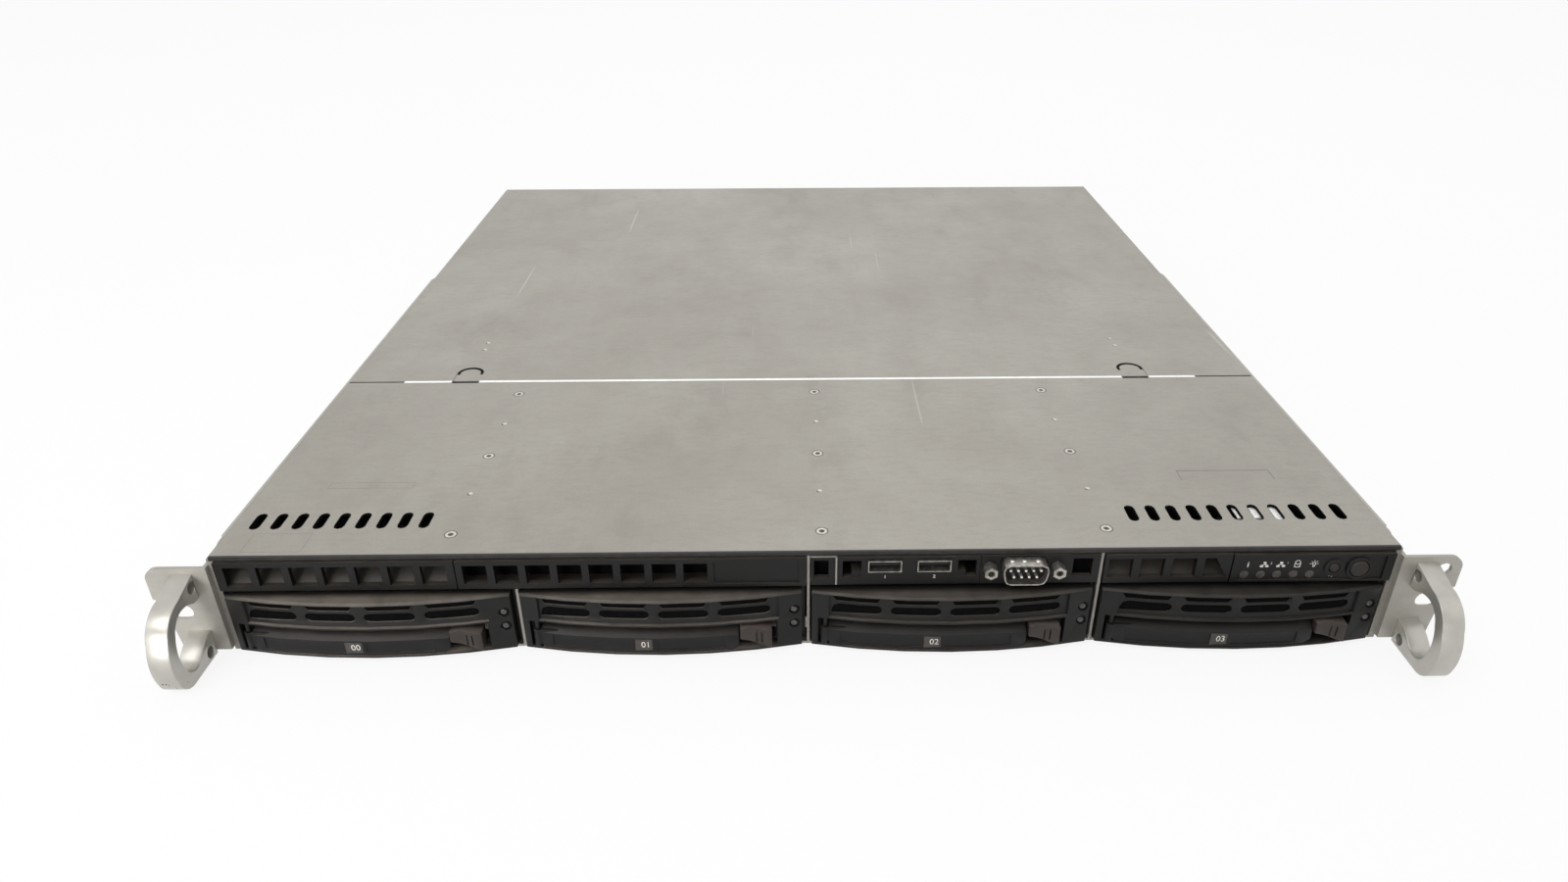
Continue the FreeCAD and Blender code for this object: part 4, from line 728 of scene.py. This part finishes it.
pin_plate_and_glint = mottled("tinned_brass_and_dimple_glint", "#E8E4DC", "#C9C4BA", 0.8, metallic=0.7, roughness=0.3)


def d_outline(x, z):
    """A D-shaped connector's outline: the wider side on top, the corners rounded."""
    corners = [(x - D_NARROW, z - D_HALF_HIGH), (x + D_NARROW, z - D_HALF_HIGH),
               (x + D_WIDE, z + D_HALF_HIGH), (x - D_WIDE, z + D_HALF_HIGH)]
    rounded = []
    for i, (cx, cz) in enumerate(corners):
        (sx, sz), (ex, ez) = [
            (cx + (px - cx) * D_ROUND / math.hypot(px - cx, pz - cz),
             cz + (pz - cz) * D_ROUND / math.hypot(px - cx, pz - cz))
            for px, pz in (corners[i - 1], corners[(i + 1) % 4])]
        for step in range(D_CURVE_STEPS):
            t = step / (D_CURVE_STEPS - 1)
            rounded.append(((1 - t) ** 2 * sx + 2 * t * (1 - t) * cx + t * t * ex,
                            (1 - t) ** 2 * sz + 2 * t * (1 - t) * cz + t * t * ez))
    return rounded


def nine_pins(x, z, low, high):
    """Pins in a row of five over a row of four."""
    places = [(x + (i - (count - 1) / 2) * PIN_PITCH, z + offset)
              for count, offset in ((5, ROW_STEP), (4, -ROW_STEP)) for i in range(count)]
    return [disc(u, v, PIN, "front", low, high, 0.2, 12) for u, v in places]


core = slab([d_outline(SERIAL_X, SERIAL_Z)], "front", -2.4, -0.25)
settle(core, "serial_insulator", insulator, "chassis")
pins = nine_pins(SERIAL_X, SERIAL_Z, -5.2, -2.3)
settle(merged(pins), "serial_pins", pin_plate_and_glint, "chassis")
dimples = [disc(SERIAL_X + dx, DIMPLE_Y, 0.85, "top", SERIAL_Z + 4.3, SERIAL_Z + 4.75, 0.3, 14)
           for dx in DIMPLE_SHIFTS]
settle(merged(dimples), "serial_shell_dimples", pin_plate_and_glint, "chassis")
tongues, contacts = [], []
for x in USB_XS:
    tongues.append(block((x - 5.3, x + 5.3), (USB_HIGH - 2.2, USB_HIGH - 0.8), "front", -1.2, 7.0,
                         0.08))
    contacts += [block((x + dx - 0.55, x + dx + 0.55), (USB_HIGH - 2.32, USB_HIGH - 2.15), "front",
                       -0.9, 6.0) for dx in USB_CONTACTS]
wells = [block((x - 5.75, x + 5.75), (USB_LOW + 0.4, USB_HIGH - 0.4), "front", 1.6, 8.9)
         for x in USB_XS]
settle(merged(wells), "usb_wells", insulator, "chassis")
settle(merged(tongues), "usb_tongues", insulator, "chassis")
settle(merged(contacts), "usb_contacts", pin_plate_and_glint, "chassis")
for number, x in enumerate(USB_XS, 1):
    mark = lettered(str(number), 1.5, x + 0.2, -1.02, 32.2, stretch=1.2)
    settle(mark, "usb_number_%d" % number, print_white, "chassis")

# ---- Baffles behind the small windows ----
# Black blocks close the slim bay and the two end windows of the port bezel, painted shade so that
# they show no light.
BAFFLES = (((-127.6, -2.0), (29.9, 39.6), 6.0, 7.5), ((2.1, 7.3), (30.0, 39.8), 3.4, 5.0),
           ((97.0, 104.5), (30.0, 39.8), 3.4, 5.0))
baffles = [block(x, z, "front", near, far) for x, z, near, far in BAFFLES]
settle(merged(baffles), "window_shade_baffles", grille_shade_black, "chassis")

# ---- Control panel ----
# Five smoked light pipes end in the panel under printed signs: a plain letter, two linked boxes
# twice, a drive and a lamp. The reset key has a small arrow under it.
LIGHT_XS = [161.3 + 6.1 * i for i in range(5)]
SIGN_Z, SIGN_FACE, SIGN_THICK, SIGN_SHIFT = 35.9, -0.75, 0.1, 0.6
LINKED_BOXES = ((0, 0.75, 0.55, 0.42), (-1.0, -0.75, 0.62, 0.42), (1.0, -0.75, 0.62, 0.42))
BOX_LINKS = [((0.6, 0.3), (0.6, -0.1)), ((-0.4, -0.1), (1.6, -0.1)), ((-0.4, -0.1), (-0.4, -0.4)),
             ((1.6, -0.1), (1.6, -0.4))]
DRIVE_SIDES = [((-1.0, 0.9), (-1.0, -1.2)), ((1.0, 0.9), (1.0, -1.2)), ((-1.0, -1.2), (1.0, -1.2))]
LAMP_CAP = [((-0.3, -0.5), (-0.3, -1.1)), ((0.3, -0.5), (0.3, -1.1)), ((-0.3, -1.1), (0.3, -1.1))]
LAMP_RAYS, RAY_FROM, RAY_TO = [math.radians(d) for d in (0, 45, 90, 135, 180)], 1.05, 1.6
ARROW = [((-0.9, 0.0), (0.7, 0.0)), ((0.1, 0.5), (0.8, 0.0)), ((0.1, -0.5), (0.8, 0.0))]
ARROW_X, ARROW_Z = 193.8, 30.6
lens = mottled("smoked_polycarbonate", "#34302D", "#433E3A", 1.5, roughness=0.25, specular=0.4)
dress(lens, "indicator_lights")


def strokes(lines, x, z, width=0.28):
    """Thin printed bars between pairs of points round a place on the panel."""
    bars = []
    for (ax, az), (bx, bz) in lines:
        length = math.hypot(bx - ax, bz - az)
        nx, nz = -(bz - az) / length * width / 2, (bx - ax) / length * width / 2
        bars.append(slab([[(x + ax + nx, z + az + nz), (x + ax - nx, z + az - nz),
                           (x + bx - nx, z + bz - nz), (x + bx + nx, z + bz + nz)]],
                         "front", SIGN_FACE, SIGN_FACE + SIGN_THICK))
    return bars


def printed_ring(x, z, outer, inner):
    """A printed circle on the panel."""
    return washer(x, z, outer, inner, "front", SIGN_FACE, SIGN_FACE + SIGN_THICK, sides=18)


signs = [lettered("i", 2.6, LIGHT_XS[0] + SIGN_SHIFT, SIGN_FACE + 0.05, SIGN_Z, 0.05, 1.3)]
for number, x in ((2, LIGHT_XS[1]), (1, LIGHT_XS[2])):
    signs += [block((x + SIGN_SHIFT + dx - w, x + SIGN_SHIFT + dx + w),
                    (SIGN_Z + dz - h, SIGN_Z + dz + h), "front", SIGN_FACE, SIGN_FACE + SIGN_THICK)
              for dx, dz, w, h in LINKED_BOXES]
    signs += strokes(BOX_LINKS, x, SIGN_Z)
    signs.append(lettered(str(number), 0.9, x + 3.0, SIGN_FACE + 0.05, SIGN_Z + 0.6, 0.05))
x = LIGHT_XS[3] + SIGN_SHIFT
signs += [printed_ring(x, SIGN_Z + 0.9, 1.0, 0.75)] + strokes(DRIVE_SIDES, x, SIGN_Z)
x = LIGHT_XS[4] + SIGN_SHIFT
rays = [tuple((r * math.cos(a), 0.2 + r * math.sin(a)) for r in (RAY_FROM, RAY_TO))
        for a in LAMP_RAYS]
signs += [printed_ring(x, SIGN_Z + 0.2, 0.75, 0.5)] + strokes(LAMP_CAP + rays, x, SIGN_Z, 0.22)
signs += strokes(ARROW, ARROW_X, ARROW_Z, 0.26)
settle(merged(signs), "panel_signs", print_white, "chassis")

# ---- Screws ----
# Zinc-plated pan heads with a cross recess hold the handles from behind and the supply's fan. The
# posts under the motherboard are hexagonal.
HANDLE_SCREWS = [(x, z) for x in (-228.0, 228.0) for z in (6.0, 31.6)]
FAN_X, FAN_Z, FAN_HOLES = 190.0, 21.0, (-16, 16)
FAN_SCREWS = [(FAN_X + dx, FAN_Z + dz) for dx in FAN_HOLES for dz in FAN_HOLES]
POSTS, POST_Z = [(x, y) for x in (-198.7, -46.3, 93.6) for y in (236.7, 393.2, 460.2)], (1.0, 6.5)
screw_zinc = mottled("zinc_screw", "#BAB7B0", "#9A968F", 1.5, metallic=0.9, roughness=0.35)


def pan_head(x, z, radius, seat, top):
    """A screw head whose cross recess faces the rear."""
    long, slim = 0.6 * radius, 0.16 * radius
    quarter = [(long, slim), (slim, slim), (slim, long)]
    cross = [(x + u, z + v) for u, v in quarter + [(-u, v) for u, v in quarter[::-1]]
             + [(-u, -v) for u, v in quarter] + [(u, -v) for u, v in quarter[::-1]]]
    middle = (seat + top) / 2
    return [disc(x, z, radius, "front", seat, middle, sides=24),
            slab([ring(x, z, radius, 24), cross], "front", middle - 0.01, top)]


heads = [part for x, z in HANDLE_SCREWS for part in pan_head(x, z, 2.8, 0.0, 1.4)]
heads += [part for x, z in FAN_SCREWS for part in pan_head(x, z, 2.2, 471.6, 472.6)]
heads += [disc(x, y, 3.0, "top", *POST_Z, 0.2, 6) for x, y in POSTS]
fasteners = settle(merged(heads), "cross_recess_screws", screw_zinc, "chassis")
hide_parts("screws")

# ---- Rear fan guard ----
# Three round wires and a cross over the supply's fan, welded where they meet.
GUARD_FACE, SPOKE_REACH, SPOKE_HALF = 471.55, 19.0, 0.8
GUARD_RINGS = ((20.0, 18.3), (14.2, 12.35), (7.75, 6.0))
guard_wire = mottled("polished_guard_wire", "#CFCCC6", "#B7B4AD", 3.0, metallic=0.8, roughness=0.3)
wires = [washer(FAN_X, FAN_Z, outer, inner, "front", GUARD_FACE, GUARD_FACE + 0.95, 0.4, 48)
         for outer, inner in GUARD_RINGS]
wires += [block((FAN_X - wide, FAN_X + wide), (FAN_Z - high, FAN_Z + high), "front", GUARD_FACE,
                GUARD_FACE + 1.0, 0.4)
          for wide, high in ((SPOKE_REACH, SPOKE_HALF), (SPOKE_HALF, SPOKE_REACH))]
settle(merged(wires), "rear_fan_guard", guard_wire, "chassis")

# ---- Rear connectors ----
# Colour-coded as is usual: two round ports in violet and green, a teal serial port with pins, a
# blue video port with sockets, two USB mouths and two network jacks with their contacts and lights.
PORT_FACE, PORT_LOW, ROUND_X = 472.55, 8.1, 81.0
ROUND_PINS = ((-2.4, 0.9), (2.4, 0.9), (-2.6, -1.1), (2.6, -1.1), (-0.9, -2.7), (0.9, -2.7))
REAR_SERIAL_X, VIDEO_X, REAR_D_Z = 35.5, -1.5, 14.5
VIDEO_PITCH, VIDEO_ROWS = 2.29, ((1.98, 0.0), (0.0, 0.6), (-1.98, 0.0))
REAR_USB_X, REAR_USB_ZS = 63.25, (PORT_LOW + 1.2, PORT_LOW + 8.6)
REAR_USB_CONTACTS = (-3.6, -1.2, 1.2, 3.6)
JACK_XS, JACK_CONTACT_PITCH, JACK_LIGHTS = (-54.5, -36.5), 1.02, (2.4, 13.6)
violet, green, teal, blue = [
    mottled(name, first, second, 1.5, roughness=0.4) for name, first, second in (
        ("violet_nylon", "#5A4A78", "#665487"), ("green_nylon", "#3F7F5C", "#4A8C68"),
        ("teal_nylon", "#1F7F82", "#2A8C8E"), ("blue_nylon", "#1F3F8C", "#2A4B99"))]
for name, colour, z in (("upper", green, PORT_LOW + 20.0), ("lower", violet, PORT_LOW + 6.0)):
    rim = [(ROUND_X - 6.7, z - 5.8), (ROUND_X + 6.7, z - 5.8), (ROUND_X + 6.7, z + 6.2),
           (ROUND_X - 6.7, z + 6.2)]
    face = slab([rim, ring(ROUND_X, z, 4.4, 32)], "front", PORT_FACE, PORT_FACE + 0.45, 0.1)
    well = disc(ROUND_X, z, 4.5, "front", 464.0, 468.5, sides=32)
    settle(merged([face, well]), "round_port_" + name, colour, "chassis")
round_pins = [disc(ROUND_X + u, PORT_LOW + z + v, 0.4, "front", 468.0, 471.5, 0.1, 10)
              for z in (6.0, 20.0) for u, v in ROUND_PINS]
settle(merged(round_pins), "round_port_pins", pin_plate_and_glint, "chassis")
for name, x, colour, top in (("serial", REAR_SERIAL_X, teal, 472.4),
                             ("video", VIDEO_X, blue, 476.2)):
    core = slab([d_outline(x, REAR_D_Z)], "front", 470.8, top, 0.15)
    settle(core, "rear_%s_insulator" % name, colour, "chassis")
pins = nine_pins(REAR_SERIAL_X, REAR_D_Z, 472.0, 476.0)
settle(merged(pins), "rear_serial_pins", pin_plate_and_glint, "chassis")
# The video sockets are black discs on the insulator's face, painted shade for its holes.
sockets = [disc(VIDEO_X + (i - 2) * VIDEO_PITCH + shift, REAR_D_Z + offset, 0.5, "front", 475.5,
                476.24, sides=12) for offset, shift in VIDEO_ROWS for i in range(5)]
settle(merged(sockets), "rear_video_sockets", insulator, "chassis")
dark_parts = [block((REAR_USB_X - 5.45, REAR_USB_X + 5.45), (z + 3.1, z + 4.6), "front", 458.0,
                    472.1, 0.1) for z in REAR_USB_ZS]
dark_parts += [block((x + 2.1, x + 13.9), (PORT_LOW + 2.3, PORT_LOW + 9.0), "front", 463.2, 464.0)
               for x in JACK_XS]
settle(merged(dark_parts), "rear_port_tongues", insulator, "chassis")
jack_wires = [x + 8.0 + (i - 3.5) * JACK_CONTACT_PITCH for x in JACK_XS for i in range(8)]
contacts = [block((x - 0.2, x + 0.2), (PORT_LOW + 2.6, PORT_LOW + 3.1), "front", 464.0, 471.0)
            for x in jack_wires]
contacts += [block((REAR_USB_X + dx - 0.5, REAR_USB_X + dx + 0.5), (z + 2.95, z + 3.15), "front",
                   460.0, 471.5) for z in REAR_USB_ZS for dx in REAR_USB_CONTACTS]
settle(merged(contacts), "rear_port_contacts", pin_plate_and_glint, "chassis")
jack_light = mottled("network_light_lens", "#B9B48A", "#A8C29A", 1.0, roughness=0.25)
lights = [block((x + dx - 1.3, x + dx + 1.3), (PORT_LOW + 11.4, PORT_LOW + 12.7), "front", 472.3,
                472.85, 0.12) for x in JACK_XS for dx in JACK_LIGHTS]
settle(merged(lights), "network_lights", jack_light, "chassis")

# ---- Drives and carrier trays ----
# Each drive is cast aluminium with a pressed lid, which seven small screws hold and three pressed
# rings stiffen. It sits in a tray with a dark baked coat.
LID_Z, BOSS_Z, SCREW_Y, LID_ROWS, SPINDLE_Y = 26.1, 26.9, 140.0, (13.0, 74.0, 140.0), 57.0
LID_RINGS = ((25.0, 24.4), (13.2, 12.7), (5.4, 1.2))
drive_cast = mottled("cast_drive_alloy", "#8D8C89", "#9C9B98", 6.0, metallic=0.7, roughness=0.45,
                     relief_mm=0.03)
dress(drive_cast, *["hard_drive_%d" % bay for bay in range(4)])
lid_screw = mottled("black_oxide_screw", "#3B3A38", "#4C4A47", 1.0, metallic=0.8, roughness=0.4)
for bay in range(4):
    x = FIRST_BAY + BAY_PITCH * bay + BAY_PITCH / 2
    places = [(x + dx, y) for dx in (-45.0, 45.0) for y in LID_ROWS] + [(x, SCREW_Y)]
    heads = [slab([ring(u, v, 2.4, 20), ring(u, v, 1.1, 6)], "top", LID_Z - 0.3, LID_Z + 0.3, 0.12)
             for u, v in places]
    settle(merged(heads), "drive_lid_screws_%d" % bay, lid_screw, "carrier_%d" % bay)
    # The rings are flush dark bands, painted shade for the pressings.
    rings = [washer(x, SPINDLE_Y, outer, inner, "top", BOSS_Z - 0.3, BOSS_Z + 0.03, sides=48)
             for outer, inner in LID_RINGS]
    settle(merged(rings), "drive_lid_rings_%d" % bay, pressed_shade, "carrier_%d" % bay)
tray_coat = mottled("dark_carrier_coat", "#232221", "#2C2A29", 7.0, roughness=0.5, specular=0.3)
dress(tray_coat, *["carrier_tray_%d" % bay for bay in range(4)])

# ---- Boards, heatsink and fans ----
# Green laminate boards, an extruded aluminium heatsink, and fans and an inlet moulded in black
# plastic, as such a server holds them.
laminate = mottled("green_solder_mask", "#14402A", "#1C5236", 3.0, roughness=0.35)
dress(laminate, "drive_backplane", "motherboard", "memory_modules")
fin_alloy = mottled("extruded_fin_alloy", "#A9A9A6", "#BDBDBA", 5.0, metallic=0.8, roughness=0.38)
dress(fin_alloy, "processor_heatsink")
fan_black = mottled("black_fan_pbt", "#171717", "#222222", 4.0, roughness=0.45, specular=0.35)
dress(fan_black, "power_inlet", "supply_impeller", *["fan_housing_%d" % i for i in (1, 2, 3)],
      *["fan_impeller_%d" % i for i in (1, 2, 3)])
